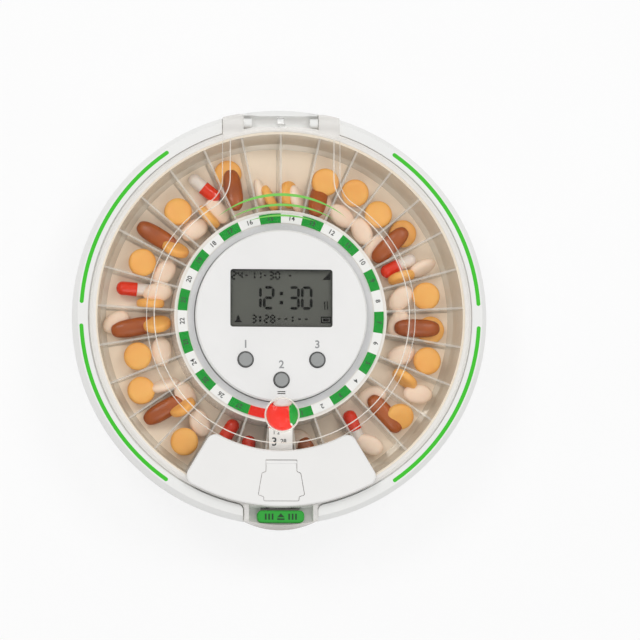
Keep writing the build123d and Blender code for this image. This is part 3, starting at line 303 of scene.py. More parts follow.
def hub_plastic(name):
    """The tray's hub: grey painted shade in the gap ring beside the console, warm and pale under the label.
    """
    finish = Finish(name)
    x, y, _ = finish.parts()
    outside = finish.ramp(finish.distance(x, y), 0.0, 1.0, LABEL_INNER - 0.6 * MM, LABEL_INNER)
    # the grey inside the label's edge is painted shade of the gap between the console and the label
    finish.colour(finish.blend(outside, srgb(214, 214, 216), srgb(238, 233, 226)))
    grain = finish.noise(900.0, 2.0)
    finish.rough(finish.ramp(grain, 0.23, 0.28))
    finish.bump(grain, 0.003 * MM)
    return finish


def display_panel(name):
    """Grey display glass: a painted shadow band along its upper edge, where the window's frame
    shades it, and darker close to its other edges.

    Each band is one minus the distance from that edge over the band's width, never below 0."""
    finish = Finish(name)
    x, y, _ = finish.parts()
    half_width, low, high = 27.1 * MM, -6.0 * MM, 24.6 * MM
    sides = finish.ramp(finish.math("ABSOLUTE", x), 0.0, 0.55, half_width - 2.6 * MM, half_width)
    upper = finish.ramp(y, 0.0, 1.0, high - 3.4 * MM, high)
    lower = finish.ramp(y, 0.45, 0.0, low, low + 2.0 * MM)
    # painted shadow of the window's frame at the top, blended with the darker side and lower bands
    shade = finish.math("MAXIMUM", finish.math("MAXIMUM", sides, upper), lower)
    cloud = finish.ramp(finish.noise(45.0, 2.0), 0.0, 0.35)
    grey = finish.blend(cloud, srgb(94, 96, 90), srgb(80, 81, 77))
    finish.colour(finish.blend(shade, grey, srgb(64, 65, 62)))
    finish.rough(finish.ramp(cloud, 0.50, 0.56, 0.0, 0.35))
    finish.bump(finish.noise(2500.0, 2.0), 0.004 * MM)
    finish.set(Specular_IOR_Level=0.15)
    return finish


def cell_label(name):
    """Printed ring: a sector for each cell, green and white by turns, and red at the home cell.

    The cell's number is the angle from the home cell's edge divided by the cell's turn, rounded
    down. The red covers the last cell and ends just past the home cell's middle. It runs a little
    way out on the tongue, whose paper is plain beyond it."""
    finish = Finish(name)
    x, y, _ = finish.parts()
    turn = finish.math("ARCTAN2", y, x)
    from_home = finish.math("SUBTRACT", turn, HOME_TURN - CELL_TURN / 2 - 2 * math.pi)
    from_home = finish.math("FLOORED_MODULO", from_home, 2 * math.pi)
    cell = finish.math("FLOOR", finish.math("DIVIDE", from_home, CELL_TURN))
    odd = finish.math("MODULO", cell, 2.0)
    home = finish.math("LESS_THAN", cell, 0.5)
    last = finish.math("GREATER_THAN", cell, CELLS - 1.5)
    red_zone = finish.math("MAXIMUM", finish.math("LESS_THAN", from_home, RED_TURN + CELL_TURN / 2), last)
    odd = finish.math("MAXIMUM", odd, home)
    radius = finish.distance(x, y)
    tongue = finish.math("GREATER_THAN", radius, LABEL_OUTER)
    past_red = finish.math("GREATER_THAN", radius, RED_TONGUE_END)
    bare = finish.math("MAXIMUM", past_red, finish.math("SUBTRACT", 1.0, red_zone))
    paper, green, red = srgb(243, 243, 241), srgb(6, 152, 46), srgb(232, 30, 4)
    fibre = finish.noise(800.0, 4.0)
    sectors = finish.blend(odd, paper, green)
    sectors = finish.blend(red_zone, sectors, red)
    sectors = finish.blend(finish.math("MULTIPLY", tongue, bare), sectors, srgb(234, 231, 227))
    soft = finish.blend(finish.ramp(fibre, 0.0, 0.02), sectors, srgb(255, 255, 255))
    finish.colour(soft)
    finish.rough(finish.ramp(fibre, 0.42, 0.55))
    finish.bump(fibre, 0.01 * MM)
    finish.set(Specular_IOR_Level=0.15)
    return finish


# ---------------------------------------------------------------- materials
white_shell = moulded("white_shell", srgb(238, 238, 236), grain=500.0, depth=0.0006 * MM, mottle=0.015)
console_white = moulded("console_white", srgb(240, 240, 240), rough=0.36, grain=1400.0)
plate_white = moulded("plate_white", srgb(240, 239, 237), rough=0.22, mottle=0.02)
green_trim = moulded("green_trim", srgb(48, 196, 14), rough=0.3, Coat_Weight=0.3)
green_button = moulded("green_button", srgb(38, 165, 50), rough=0.34)
left_grey, middle_grey, right_grey = (
    key_cap(f"key_grey_{number}", *place) for number, place in enumerate(KEY_PLACES, 1)
)
display_grey = display_panel("display_grey")
display_ink = moulded("display_ink", srgb(12, 13, 12), rough=0.7, Specular_IOR_Level=0.1)
legend_ink = moulded("legend_ink", srgb(150, 152, 154), rough=0.5)
number_ink = moulded("number_ink", srgb(52, 56, 56), rough=0.5)
dark_ink = moulded("dark_ink", srgb(14, 64, 24), rough=0.5)
mark_green = moulded("mark_green", srgb(122, 204, 88), rough=0.35)
THICK_RIM = 98.0 * MM           # the lid's moulding is thick and milky past this distance
# the lid's front lip is painted darker between these places: painted shade on its face, which slopes down and
# away
LIP_START, LIP_END = -107.0 * MM, -112.0 * MM    # Y places
clear_lid = clear_sheet("clear_lid", srgb(252, 250, 247), 0.006, gloss=0.15, rough=0.14,
                        beyond=("radius", THICK_RIM), more_haze=0.62,
                        lip=(LIP_START, LIP_END, srgb(184, 174, 166)))
# milky films for the strips that paint highlights along the lid's edges
edge_glint_bright = clear_sheet("edge_glint_bright", srgb(252, 246, 236), 0.62, gloss=0.1, rough=0.2)
edge_glint_faint = clear_sheet("edge_glint_faint", srgb(252, 246, 236), 0.42, gloss=0.1, rough=0.2)
clear_lens = clear_moulding("clear_lens", srgb(253, 251, 249), 0.02, srgb(250, 250, 250))
clear_lens.set(Specular_Tint=(0.25, 0.25, 0.25, 1.0))    # weak mirror images, so the print stays deep
clear_light = clear_moulding("clear_light", srgb(250, 250, 250), 0.02, srgb(250, 250, 250))
clear_window = clear_sheet("clear_window", srgb(250, 250, 250), 0.01, gloss=0.9, rough=0.03)
tray_clear = hub_plastic("tray_clear")
wall_glint_height = tray_top - 0.1 * MM    # the tray's walls and dividers have a painted highlight above this, milky as if their rounded top edge caught light
tray_wall_clear = clear_sheet("tray_wall_clear", srgb(255, 244, 226), 0.6, edge=0.4, gloss=0.1,
                              rough=0.15, beyond=("Z", wall_glint_height), more_haze=0.95)
tray_floor_tone = moulded("tray_floor_tone", srgb(255, 240, 219), rough=0.3)
divider_clear = clear_sheet("divider_clear", srgb(252, 246, 236), 0.13, edge=0.3, gloss=0.15,
                            rough=0.12, beyond=("Z", wall_glint_height), more_haze=0.38)
label_print = cell_label("label_print")
foot_rubber = moulded("foot_rubber", srgb(88, 88, 88), rough=0.7, grain=600.0, depth=0.05 * MM)
connector_rubber = moulded("connector_rubber", srgb(150, 150, 146), rough=0.7)
board_green = moulded("board_green", srgb(24, 92, 50), rough=0.35, mottle=0.12)
black_plastic = moulded("black_plastic", srgb(34, 34, 35), rough=0.5)
gear_plastic = moulded("gear_plastic", srgb(236, 233, 222), rough=0.45)
motor_can = metal("motor_can", srgb(180, 180, 178), 0.32)
steel = metal("steel", srgb(196, 196, 194), 0.28)
catch_steel = metal("catch_steel", srgb(128, 124, 120), 0.24, (60.0, 60.0, 900.0))
nickel = metal("nickel", srgb(206, 205, 200), 0.18, (60.0, 900.0, 60.0))
battery_jacket = moulded("battery_jacket", srgb(70, 74, 82), rough=0.3, Metallic=0.6)

orange_coat = tablet_coat("orange_coat", srgb(255, 190, 100), srgb(248, 172, 84))
brown_coat = tablet_coat("brown_coat", srgb(178, 90, 28), srgb(146, 68, 18), rough=0.28)
peach_coat = tablet_coat("peach_coat", srgb(255, 230, 208), srgb(248, 216, 192))
red_gel = moulded("red_gel", srgb(236, 52, 14), rough=0.18, Subsurface_Weight=0.05)
white_gel = moulded("white_gel", srgb(240, 226, 216), rough=0.18, Subsurface_Weight=0.1)

node_finish = {
    "base_shell": white_shell, "bottom_cover": white_shell, "battery_door": white_shell,
    "rim_stripes": green_trim, "cover_screws": steel, "feet": foot_rubber,
    "batteries": battery_jacket, "battery_contacts": nickel, "contact_springs": nickel,
    "gear_pin": steel, "gear_plate": steel, "motor": motor_can, "index_sensor": black_plastic,
    "console_cover": console_white, "display_window": clear_window, "display_module": display_grey,
    "display_connectors": connector_rubber, "main_board": board_green, "board_screws": steel,
    "speaker": connector_rubber, "radio_module": board_green, "board_chips": black_plastic,
    "key_domes": connector_rubber, "alarm_light": clear_light, "hinge_pins": steel,
    "catch_plate": catch_steel, "button_spring": nickel, "lid_shell": clear_lid, "magnifier": clear_lens,
    "dispensing_plate": plate_white, "door_pin": steel, "lid_hook": clear_lid,
    "dose_door": plate_white, "tray_floor": tray_floor_tone, "tray_outer_wall": tray_wall_clear,
    "tray_hub": tray_clear, "tray_dividers": divider_clear, "label_ring": label_print,
    "drive_gear": gear_plastic, "motor_pinion": gear_plastic, "motor_shaft": steel,
    "latch_button": green_button, "left_key": left_grey, "middle_key": middle_grey,
    "right_key": right_grey,
}

SHARP_EDGE = math.radians(32)
for name, node in nodes.items():
    node.data.materials.clear()
    node.data.materials.append(node_finish[name].material)
    weld = node.modifiers.new("weld", "WELD")
    weld.merge_threshold = 0.002 * MM
    if name == "lid_shell":        # keeps the clear skin off the faces of the plate and the lens in it
        skin = node.modifiers.new("skin", "DISPLACE")
        skin.strength, skin.mid_level = -0.02 * MM, 0.0
    split = node.modifiers.new("split", "EDGE_SPLIT")
    split.split_angle = SHARP_EDGE
    level = node.modifiers.new("level", "WEIGHTED_NORMAL")   # flat faces stay flat beside their fillets
    level.weight = 60
    node.data.polygons.foreach_set("use_smooth", np.ones(len(node.data.polygons), bool))


# ---------------------------------------------------------------- mesh parts
def grid_faces(rows, columns, closed_rows=False, closed_columns=False):
    """Quads between neighbours of a rows by columns grid of points, as an array of index rows."""
    row = np.arange(rows if closed_rows else rows - 1)
    column = np.arange(columns if closed_columns else columns - 1)
    r, c = np.meshgrid(row, column, indexing="ij")
    r, c = r.ravel(), c.ravel()
    r1, c1 = (r + 1) % rows, (c + 1) % columns
    return np.stack([r * columns + c, r * columns + c1, r1 * columns + c1, r1 * columns + c], axis=1)


def piece(name, points, faces, finish, body, smooth=True, thickness=None):
    """A mesh piece at the origin, riding on a body. thickness gives a flat sheet a back."""
    mesh = bpy.data.meshes.new(name)
    mesh.from_pydata(np.asarray(points).tolist(), [], [list(map(int, face)) for face in faces])
    mesh.materials.append(finish.material)
    mesh.polygons.foreach_set("use_smooth", np.full(len(mesh.polygons), smooth))
    mesh.update()
    thing = bpy.data.objects.new(name, mesh)
    bpy.context.scene.collection.objects.link(thing)
    if thickness:
        solid = thing.modifiers.new("back", "SOLIDIFY")
        solid.thickness = thickness
        solid.offset = 1.0
    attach(thing, body)


def rounded_solid(length, width, height, squareness, rows=14, columns=32, edge=2.6):
    """Points and faces of a closed tablet about the origin, its long side along X.

    Each level is a superellipse of the plan's exponent; going from the lower pole to the upper one
    its size follows the superellipse of the side's exponent: size ** edge + level ** edge = 1."""
    rise = np.linspace(-math.pi / 2, math.pi / 2, rows)
    level = np.sign(np.sin(rise)) * np.abs(np.sin(rise)) ** (2 / edge)
    size = np.abs(np.cos(rise)) ** (2 / edge)
    around = np.linspace(0, 2 * math.pi, columns, endpoint=False)
    plan_x = np.sign(np.cos(around)) * np.abs(np.cos(around)) ** (2 / squareness)
    plan_y = np.sign(np.sin(around)) * np.abs(np.sin(around)) ** (2 / squareness)
    inner_size, inner_level = size[1:-1], level[1:-1]
    x = np.outer(inner_size, plan_x) * length / 2
    y = np.outer(inner_size, plan_y) * width / 2
    z = np.repeat(inner_level, columns).reshape(x.shape) * height / 2
    rings = np.stack([x.ravel(), y.ravel(), z.ravel()], axis=1)
    poles = np.array([[0, 0, -height / 2], [0, 0, height / 2]])
    points = np.vstack([rings, poles])
    faces = grid_faces(rows - 2, columns, closed_columns=True).tolist()
    ring = np.arange(columns)
    lower = np.stack([np.full(columns, len(rings)), (ring + 1) % columns, ring], axis=1)
    last = (rows - 3) * columns
    upper = np.stack([np.full(columns, len(rings) + 1), last + ring, last + (ring + 1) % columns], axis=1)
    return points, faces + lower.tolist() + upper.tolist()


def capsule_shell(length, radius, start, stop, columns=28, levels=26):
    """Closed tube between two places along a capsule's axis, as shares of its length.

    The radius follows a half circle at each end: sqrt(radius ** 2 - overrun ** 2), where the
    overrun is how far a point is past the straight part."""
    along = np.linspace(-length / 2 + start * length, -length / 2 + stop * length, levels)
    straight = length / 2 - radius
    overrun = np.clip(np.abs(along) - straight, 0, radius)
    reach = np.sqrt(np.maximum(radius ** 2 - overrun ** 2, 0))
    around = np.linspace(0, 2 * math.pi, columns, endpoint=False)
    x = np.repeat(along, columns)
    y = np.outer(reach, np.cos(around)).ravel()
    z = np.outer(reach, np.sin(around)).ravel()
    points = np.vstack([np.stack([x, y, z], axis=1), [[along[0], 0, 0], [along[-1], 0, 0]]])
    faces = grid_faces(levels, columns, closed_columns=True)[:, ::-1].tolist()
    ring = np.arange(columns)
    count = levels * columns
    first = np.stack([np.full(columns, count), (ring + 1) % columns, ring], axis=1)
    last, after_last = count - columns + ring, count - columns + (ring + 1) % columns
    end = np.stack([np.full(columns, count + 1), last, after_last], axis=1)
    return points, faces + first[:, ::-1].tolist() + end[:, ::-1].tolist()


def placed(points, cell, radius, across, height, turn, tilt, roll=0.0):
    """Points moved from the origin into a cell: rolled about X, tilted about Y, turned about Z,
    then carried to a radius and a step across on the cell's middle line."""
    middle = HOME_TURN + cell * CELL_TURN
    matrix = (
        Matrix.Rotation(middle, 4, "Z")
        @ Matrix.Translation((radius * MM, across * MM, tray_floor_top + height * MM))
        @ Matrix.Rotation(math.radians(turn), 4, "Z")
        @ Matrix.Rotation(math.radians(tilt), 4, "Y")
        @ Matrix.Rotation(math.radians(roll), 4, "X")
    )
    array = np.array(matrix)
    return points @ array[:3, :3].T + array[:3, 3]


def heap(name, shape, places, finish):
    """One piece holding a copy of a shape at each place, riding on the tray."""
    points, faces = shape
    all_points, all_faces = [], []
    for index, place in enumerate(places):
        all_points.append(placed(points, *place))
        offset = index * len(points)
        all_faces += [[corner + offset for corner in face] for face in faces]
    piece(name, np.vstack(all_points), all_faces, finish, "tray")


# ---------------------------------------------------------------- tablets and capsules in the cells
# Each place is (cell, radius, step across, height of the middle above the floor, turn, tilt, roll),
# in mm and degrees; cells are numbered from the home cell, anticlockwise from above.
ROUND_SIZE = (14.8, 14.8, 5.2)
round_tablet = rounded_solid(*(s * MM for s in ROUND_SIZE), squareness=2.0, edge=3.4)
round_places = [
    (18, 78.0, 0.0, 8.5, 0, 8, 5), (20, 78.3, -0.4, 9.0, 0, -6, 4), (23, 77.6, -0.3, 8.0, 0, 5, -5),
    (24, 82.5, 0.0, 7.0, 0, -8, 0), (26, 82.5, 0.0, 7.5, 0, 5, 6), (13, 77.2, -0.2, 9.5, 0, 0, 8),
    (12, 79.0, -0.3, 8.2, 0, -10, 0), (11, 77.6, -0.2, 7.5, 0, 8, -5), (10, 81.5, 0.8, 3.0, 0, 0, 0),
    (8, 80.0, -0.3, 8.0, 0, -12, 4), (6, 82.5, 0.0, 8.4, 0, 7, 0), (19, 66.0, 0.6, 9.6, 0, 24, 62),
    (21, 68.5, 3.4, 7.6, 8, 0, 82), (25, 69.5, 3.2, 8.2, -8, 0, 68), (17, 65.5, 4.0, 8.0, 12, 0, 78),
    (15, 64.5, -2.2, 8.0, 20, 0, 80), (14, 66.5, 1.4, 8.5, 0, 14, 50), (22, 64.8, 0.0, 9.2, 0, 12, 58),
    (9, 69.5, -3.4, 7.8, -6, 0, 80), (4, 83.0, 2.4, 9.0, 20, 14, 28), (7, 82.0, -0.8, 3.2, 0, 0, 0),
    (5, 74.5, 3.6, 8.0, -8, 0, 78), (2, 78.0, 0.0, 3.0, 0, 0, 0), (16, 82.0, 0.6, 3.0, 0, 0, 0),
]
heap("orange_tablets", round_tablet, round_places, orange_coat)

OBLONG_SIZE = (24.5, 9.8, 7.6)
oblong_tablet = rounded_solid(*(s * MM for s in OBLONG_SIZE), squareness=2.7, rows=16, columns=40, edge=2.3)
oblong_places = [
    (19, 77.8, 0.2, 6.5, 3, 3, 0), (22, 77.0, 0.8, 6.0, 8, -2, 0), (25, 77.6, -2.0, 5.2, -10, 4, 0),
    (16, 72.5, 1.2, 9.0, -12, 22, 0), (10, 71.5, -0.6, 10.0, 10, -6, 0), (7, 74.2, -0.6, 8.5, 2, 0, 0),
    (4, 76.0, -1.6, 8.0, -8, 5, 0), (13, 66.5, 0.4, 11.0, 4, 42, 0), (1, 76.0, 0.5, 4.0, 6, 0, 0),
]
heap("brown_tablets", oblong_tablet, oblong_places, brown_coat)

OVAL_SIZE = (15.6, 10.6, 5.6)
oval_tablet = rounded_solid(*(s * MM for s in OVAL_SIZE), squareness=2.1, rows=14, columns=36, edge=2.4)
oval_places = [
    (18, 65.0, 0.0, 6.5, 80, 0, 10), (20, 65.5, 0.0, 5.5, 75, 5, 0), (21, 65.8, -2.8, 8.0, 20, 10, -12),
    (23, 64.6, 0.4, 6.0, 78, 0, 8), (24, 70.0, 3.2, 6.2, -10, 0, 66), (26, 69.5, 0.4, 6.0, 60, 10, 0),
    (12, 64.8, -0.4, 6.6, 82, 0, 12), (11, 65.0, 0.0, 6.5, 70, 5, 0), (8, 66.5, 0.6, 6.0, 40, -8, 8),
    (6, 68.5, -0.6, 6.0, 35, 8, 6), (5, 84.5, 0.0, 6.5, 25, 0, 10), (3, 82.8, -1.6, 6.5, 30, 0, 12),
    (9, 82.0, -2.6, 7.0, 5, 0, 60), (14, 64.4, -2.6, 9.5, 20, 0, 64), (15, 68.0, 2.4, 6.5, 8, 0, 80),
    (17, 66.0, -1.8, 5.0, 10, 0, 12), (7, 64.4, 1.4, 5.5, 70, 0, 0), (25, 64.2, -0.8, 5.8, 80, 10, 0),
    (4, 64.8, 1.2, 5.8, 60, -8, 10), (10, 64.6, 2.6, 5.0, 20, 0, 0), (1, 66.5, -1.2, 3.0, 30, 0, 0),
    (22, 86.0, -2.6, 3.0, 30, 0, 0), (13, 64.6, -2.8, 5.0, 10, 0, 8),
]
heap("peach_tablets", oval_tablet, oval_places, peach_coat)

CAPSULE_LENGTH, CAPSULE_RADIUS = 20.6, 3.7
BODY_RADIUS_SHARE = 0.94        # the body slides inside the cap
capsule_places = [
    (21, 77.5, -2.8, 5.0, 4, 0, 0), (27, 68.6, 1.0, 6.0, -8, 6, 0), (9, 70.5, 3.0, 6.5, 4, -4, 0),
    (3, 71.0, -2.6, 5.5, -14, 8, 0), (28, 74.0, 0.0, 4.0, 8, 0, 0), (17, 80.0, -2.2, 4.2, 20, 0, 0),
]
OUTWARD_CELL = 21               # its capsule's cap points at the outer wall, the others' at the hub
laid = []
for cell, radius, across, height, turn, tilt, roll in capsule_places:
    if cell != OUTWARD_CELL:
        turn, tilt = turn + 180, -tilt
    laid.append((cell, radius, across, height, turn, tilt, roll))
cap = capsule_shell(CAPSULE_LENGTH * MM, CAPSULE_RADIUS * MM, 0.46, 1.0)
shell = capsule_shell(CAPSULE_LENGTH * MM, CAPSULE_RADIUS * BODY_RADIUS_SHARE * MM, 0.01, 0.9)
heap("capsule_caps", cap, laid, red_gel)
heap("capsule_bodies", shell, laid, white_gel)


# ---------------------------------------------------------------- printing
def flat_text(text, size):
    """Points and faces of centred lettering about the origin, facing +Z, that many metres high."""
    curve = bpy.data.curves.new("lettering", "FONT")
    curve.body = text
    curve.size = size
    curve.align_x = "CENTER"
    curve.align_y = "CENTER"
    curve.resolution_u = 3
    curve.offset = 0.016 * size
    holder = bpy.data.objects.new("lettering", curve)
    bpy.context.scene.collection.objects.link(holder)
    bpy.context.view_layer.update()
    mesh = bpy.data.meshes.new_from_object(holder)
    points = np.array([v.co[:] for v in mesh.vertices]).reshape(-1, 3)
    faces = [list(p.vertices) for p in mesh.polygons]
    bpy.data.objects.remove(holder)
    bpy.data.curves.remove(curve)
    bpy.data.meshes.remove(mesh)
    return points, faces


def print_sheet(name, prints, finish, body):
    """One flat piece from prints, each (points, faces, (x, y, z), turn about Z)."""
    all_points, all_faces, count = [], [], 0
    for points, faces, spot, turn in prints:
        c, s = math.cos(turn), math.sin(turn)
        spun = points @ np.array([[c, s, 0], [-s, c, 0], [0, 0, 1]])
        all_points.append(spun + np.array(spot))
        all_faces += [[corner + count for corner in face] for face in faces]
        count += len(points)
    piece(name, np.vstack(all_points), all_faces, finish, body, smooth=False, thickness=PRINT_THICKNESS)


def bars(boxes):
    """Points and faces of flat rectangles, each (left, bottom, right, top) in mm."""
    points, faces = [], []
    for left, bottom, right, top in boxes:
        start = len(points)
        points += [(left, bottom, 0), (right, bottom, 0), (right, top, 0), (left, top, 0)]
        faces.append([start, start + 1, start + 2, start + 3])
    return np.array(points, float) * MM, faces


# numbers of the cells on the label ring, their heads outwards, and three numbers on its tongue
CELL_NUMBER_HEIGHT = 3.5        # mm
TONGUE_ROWS = (("1 2", 2.9, -2.4, -61.6), ("3", 6.2, -3.4, -66.6), ("28", 3.2, 1.4, -66.2))
numbers = []
for cell in range(1, CELLS - 1):
    turn = HOME_TURN + cell * CELL_TURN
    points, faces = flat_text(str(cell), CELL_NUMBER_HEIGHT * MM)
    spot = (LABEL_MIDDLE * math.cos(turn), LABEL_MIDDLE * math.sin(turn), label_top + print_lift)
    numbers.append((points, faces, spot, turn - math.pi / 2))
for row, size, x, y in TONGUE_ROWS:
    points, faces = flat_text(row, size * MM)
    numbers.append((points, faces, (x * MM, y * MM, label_top + print_lift), 0.0))
print_sheet("cell_numbers", numbers, number_ink, "tray")

# key numbers on the console
LEGEND_RISE = 8.0               # mm above the key's middle
LEGEND_HEIGHT = 5.8
legends = []
for number, (x, y) in enumerate(KEY_PLACES, 1):
    points, faces = flat_text(str(number), LEGEND_HEIGHT * MM)
    legends.append((points, faces, (x * MM, (y + LEGEND_RISE) * MM, console_top + print_lift), 0.0))
print_sheet("key_numbers", legends, legend_ink, "base")


# ---------------------------------------------------------------- display
SEGMENTS = {
    "0": "abcdef", "1": "bc", "2": "abged", "3": "abgcd", "4": "fgbc", "5": "afgcd", "6": "afgedc",
    "7": "abc", "8": "abcdefg", "9": "abcdfg", "-": "g", " ": "",
}
SEGMENT_ENDS = {                # as shares of a character's width and height
    "a": ((0, 1), (1, 1)), "g": ((0, 0.5), (1, 0.5)), "d": ((0, 0), (1, 0)),
    "f": ((0, 0.5), (0, 1)), "b": ((1, 0.5), (1, 1)),
    "e": ((0, 0), (0, 0.5)), "c": ((1, 0), (1, 0.5)),
}
SEGMENT_GAP = 0.18              # a bar's points stop this share of its stroke short of the corners
COLON_HEIGHTS = (0.27, 0.71)    # of a colon's two squares, as shares of a character's height
COLON_REACH = 0.65              # half a colon square's side, as a share of the stroke


def seven_segments(text, left, bottom, height, width, pitch, stroke):
    """Bars with slanted ends for a row of seven-segment characters, in mm on the display.

    A bar from one corner to the next is a hexagon: it comes to a point a little short of each
    corner, and has its full width half a stroke further in. A colon is two squares in the middle
    of a space of its own."""
    points, faces = [], []
    x = left
    for character in text:
        if character == ":":
            for share in COLON_HEIGHTS:
                start = len(points)
                side = stroke * COLON_REACH
                cx, cy = x + width / 2, bottom + height * share
                points += [(cx - side, cy - side), (cx + side, cy - side)]
                points += [(cx + side, cy + side), (cx - side, cy + side)]
                faces.append([start, start + 1, start + 2, start + 3])
            x += pitch
            continue
        for letter in SEGMENTS[character]:
            (x0, y0), (x1, y1) = SEGMENT_ENDS[letter]
            start_point = np.array([x + x0 * width, bottom + y0 * height])
            end_point = np.array([x + x1 * width, bottom + y1 * height])
            along = (end_point - start_point) / np.linalg.norm(end_point - start_point)
            side = np.array([-along[1], along[0]]) * stroke / 2
            shrink = stroke * SEGMENT_GAP
            a, b = start_point + along * shrink, end_point - along * shrink
            inner = along * stroke / 2
            outline = [a, a + inner - side, b - inner - side, b, b - inner + side, a + inner + side]
            start = len(points)
            points += [tuple(p) for p in outline]
            faces.append(list(range(start, start + 6)))
        x += pitch
    return np.array([(px * MM, py * MM, 0.0) for px, py in points]), faces


def icon(outline):
    """Points and one face from an outline in mm."""
    return np.array([(x * MM, y * MM, 0.0) for x, y in outline]), [list(range(len(outline)))]


def frame_lines(left, bottom, right, top, stroke):
    """Four bars round a rectangle."""
    inner_bottom, inner_top = bottom + stroke, top - stroke
    return bars([
        (left, bottom, right, inner_bottom), (left, inner_top, right, top),
        (left, inner_bottom, left + stroke, inner_top), (right - stroke, inner_bottom, right, inner_top),
    ])


signal = [(21.9, 19.3), (26.2, 19.3), (26.2, 23.6)]
bell = [(-25.0, -3.4), (-20.6, -3.4), (-21.8, -2.2), (-22.2, -0.4), (-22.8, 0.4), (-23.4, -0.4),
        (-23.8, -2.2)]
arrow_down = [(24.2, 3.2), (25.3, 4.6), (24.7, 4.6), (24.7, 8.0), (24.2, 8.0)]
arrow_up = [(22.9, 3.4), (23.4, 3.4), (23.4, 8.2), (22.3, 6.8), (22.9, 6.8)]
marks = [
    seven_segments("24-11-30 -", -26.0, 19.5, 3.8, 2.0, 3.3, 0.95),
    seven_segments("12:30", -15.7, 4.1, 11.0, 4.7, 6.72, 1.45),
    seven_segments("3:28", -15.4, -3.5, 3.8, 2.0, 3.3, 0.95),
    seven_segments("--:--", -2.2, -3.5, 3.8, 2.2, 3.6, 0.8),
    icon(signal), icon(bell), icon(arrow_down), icon(arrow_up),
    frame_lines(21.0, -3.7, 26.4, -0.2, 0.6),
    bars([(22.2, -2.7, 25.2, -1.2)]),
]
screen_depth = display_face + 0.25 * MM
print_sheet("display_marks", [(p, f, (0, 0, screen_depth), 0.0) for p, f in marks], display_ink, "base")


# ---------------------------------------------------------------- marks on the lid and the button
def crescent(half_chord, chord_y, apex_y, thickness, columns=48):
    """Flat crescent in mm: two arcs over the same chord.

    The outer arc has the radius of the circle through both ends and the apex; the inner one lies
    below it by thickness times one minus the square of the share of the half chord."""
    sagitta = apex_y - chord_y
    radius = (half_chord ** 2 + sagitta ** 2) / (2 * sagitta)
    share = np.linspace(-1, 1, columns)
    angle = share * math.asin(half_chord / radius)
    x = radius * np.sin(angle)
    upper = apex_y - radius + radius * np.cos(angle)
    lower = upper - thickness * (1 - share ** 2)
    points = np.zeros((2 * columns, 3))
    points[:columns] = np.stack([x, lower, np.zeros(columns)], axis=1) * MM
    points[columns:] = np.stack([x, upper, np.zeros(columns)], axis=1) * MM
    return points, grid_faces(2, columns).tolist()


CRESCENTS = ((34.0, 51.9, 64.6, 1.5), (27.3, 51.0, 59.1, 1.3), (17.8, 49.7, 53.3, 1.0))   # mm
lid_marks = [(*crescent(*sizes), (0, 0, plateau_top + print_lift), 0.0) for sizes in CRESCENTS]
print_sheet("lid_crescents", lid_marks, mark_green, "lid")

# open symbol and grip bars on the latch button
grips = [(side * x - 0.45, -1.6, side * x + 0.45, 1.6) for side in (-1, 1) for x in (4.4, 6.2, 8.0)]
symbol = [bars([(-1.9, -1.7, 1.9, -0.9)] + grips), icon([(-1.9, -0.3), (1.9, -0.3), (0.0, 1.8)])]
print_sheet("button_symbol", [(p, f, (0, BUTTON_MIDDLE, button_top + print_lift), 0.0) for p, f in symbol],
            dark_ink, "latch_button")


# ---------------------------------------------------------------- painted highlights along the clear lid's edges
def band(name, path, width, height, lift, finish, body, closed=False):
    """A low rounded strip along a path of plan points in metres.

    Across it the height is half an ellipse: the square root of one minus the square of the side
    step over half the width. Side steps follow the path's normal, which is the turned difference
    of each point's neighbours."""
    path = np.asarray(path)
    if closed:
        ahead, behind = np.roll(path, -1, axis=0), np.roll(path, 1, axis=0)
    else:
        ahead, behind = np.vstack([path[1:], path[-1:]]), np.vstack([path[:1], path[:-1]])
    along = ahead - behind
    along /= np.linalg.norm(along, axis=1)[:, None]
    normal = np.stack([-along[:, 1], along[:, 0]], axis=1)
    shares = np.array([-0.5, -0.3, 0.0, 0.3, 0.5])
    steps = shares * width
    rises = np.sqrt(1 - (2 * shares) ** 2) * height
    plan = path[:, None, :] + normal[:, None, :] * steps[None, :, None]
    z = np.broadcast_to(lift + rises, plan.shape[:2])
    points = np.concatenate([plan, z[..., None]], axis=2).reshape(-1, 3)
    faces = grid_faces(len(path), len(steps), closed_rows=closed)[:, ::-1]
    piece(name, points, faces, finish, body, thickness=-0.04 * MM)


def keyhole(radius, half_width, flare, end, steps=40):
    """Plan path of the lid's raised middle, open at the hinge side, in mm.

    A neck line runs in parallel to Y, an arc of the flare's radius turns it outwards until it
    touches the circle, and the circle carries on round the latch side; the other half mirrors it.
    The flare's centre is at (half width + flare, sqrt((radius + flare) ** 2 - that ** 2))."""
    cx = half_width + flare
    cy = math.sqrt((radius + flare) ** 2 - cx ** 2)
    touch = math.atan2(cy, cx)
    turn = np.linspace(math.pi, touch + math.pi, steps)
    arc = np.stack([cx + flare * np.cos(turn), cy + flare * np.sin(turn)], axis=1)
    round_ = np.linspace(touch, -math.pi / 2, 3 * steps)[1:]
    circle = np.stack([radius * np.cos(round_), radius * np.sin(round_)], axis=1)
    half = np.vstack([[(half_width, end)], arc, circle])
    other = half[:-1][::-1] * (-1, 1)
    return np.vstack([half, other]) * MM


def ring(radius, centre, steps=64):
    """Plan path of a circle in mm."""
    turn = np.linspace(0, 2 * math.pi, steps, endpoint=False)
    return np.stack([centre[0] + radius * np.cos(turn), centre[1] + radius * np.sin(turn)], axis=1) * MM


lid_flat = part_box("dispensing_plate")[0][2]
NECK_END = 93.5                 # mm
upper_edge, lower_edge = keyhole(67.5, 27.5, 19.1, NECK_END), keyhole(71.2, 31.2, 15.4, NECK_END)
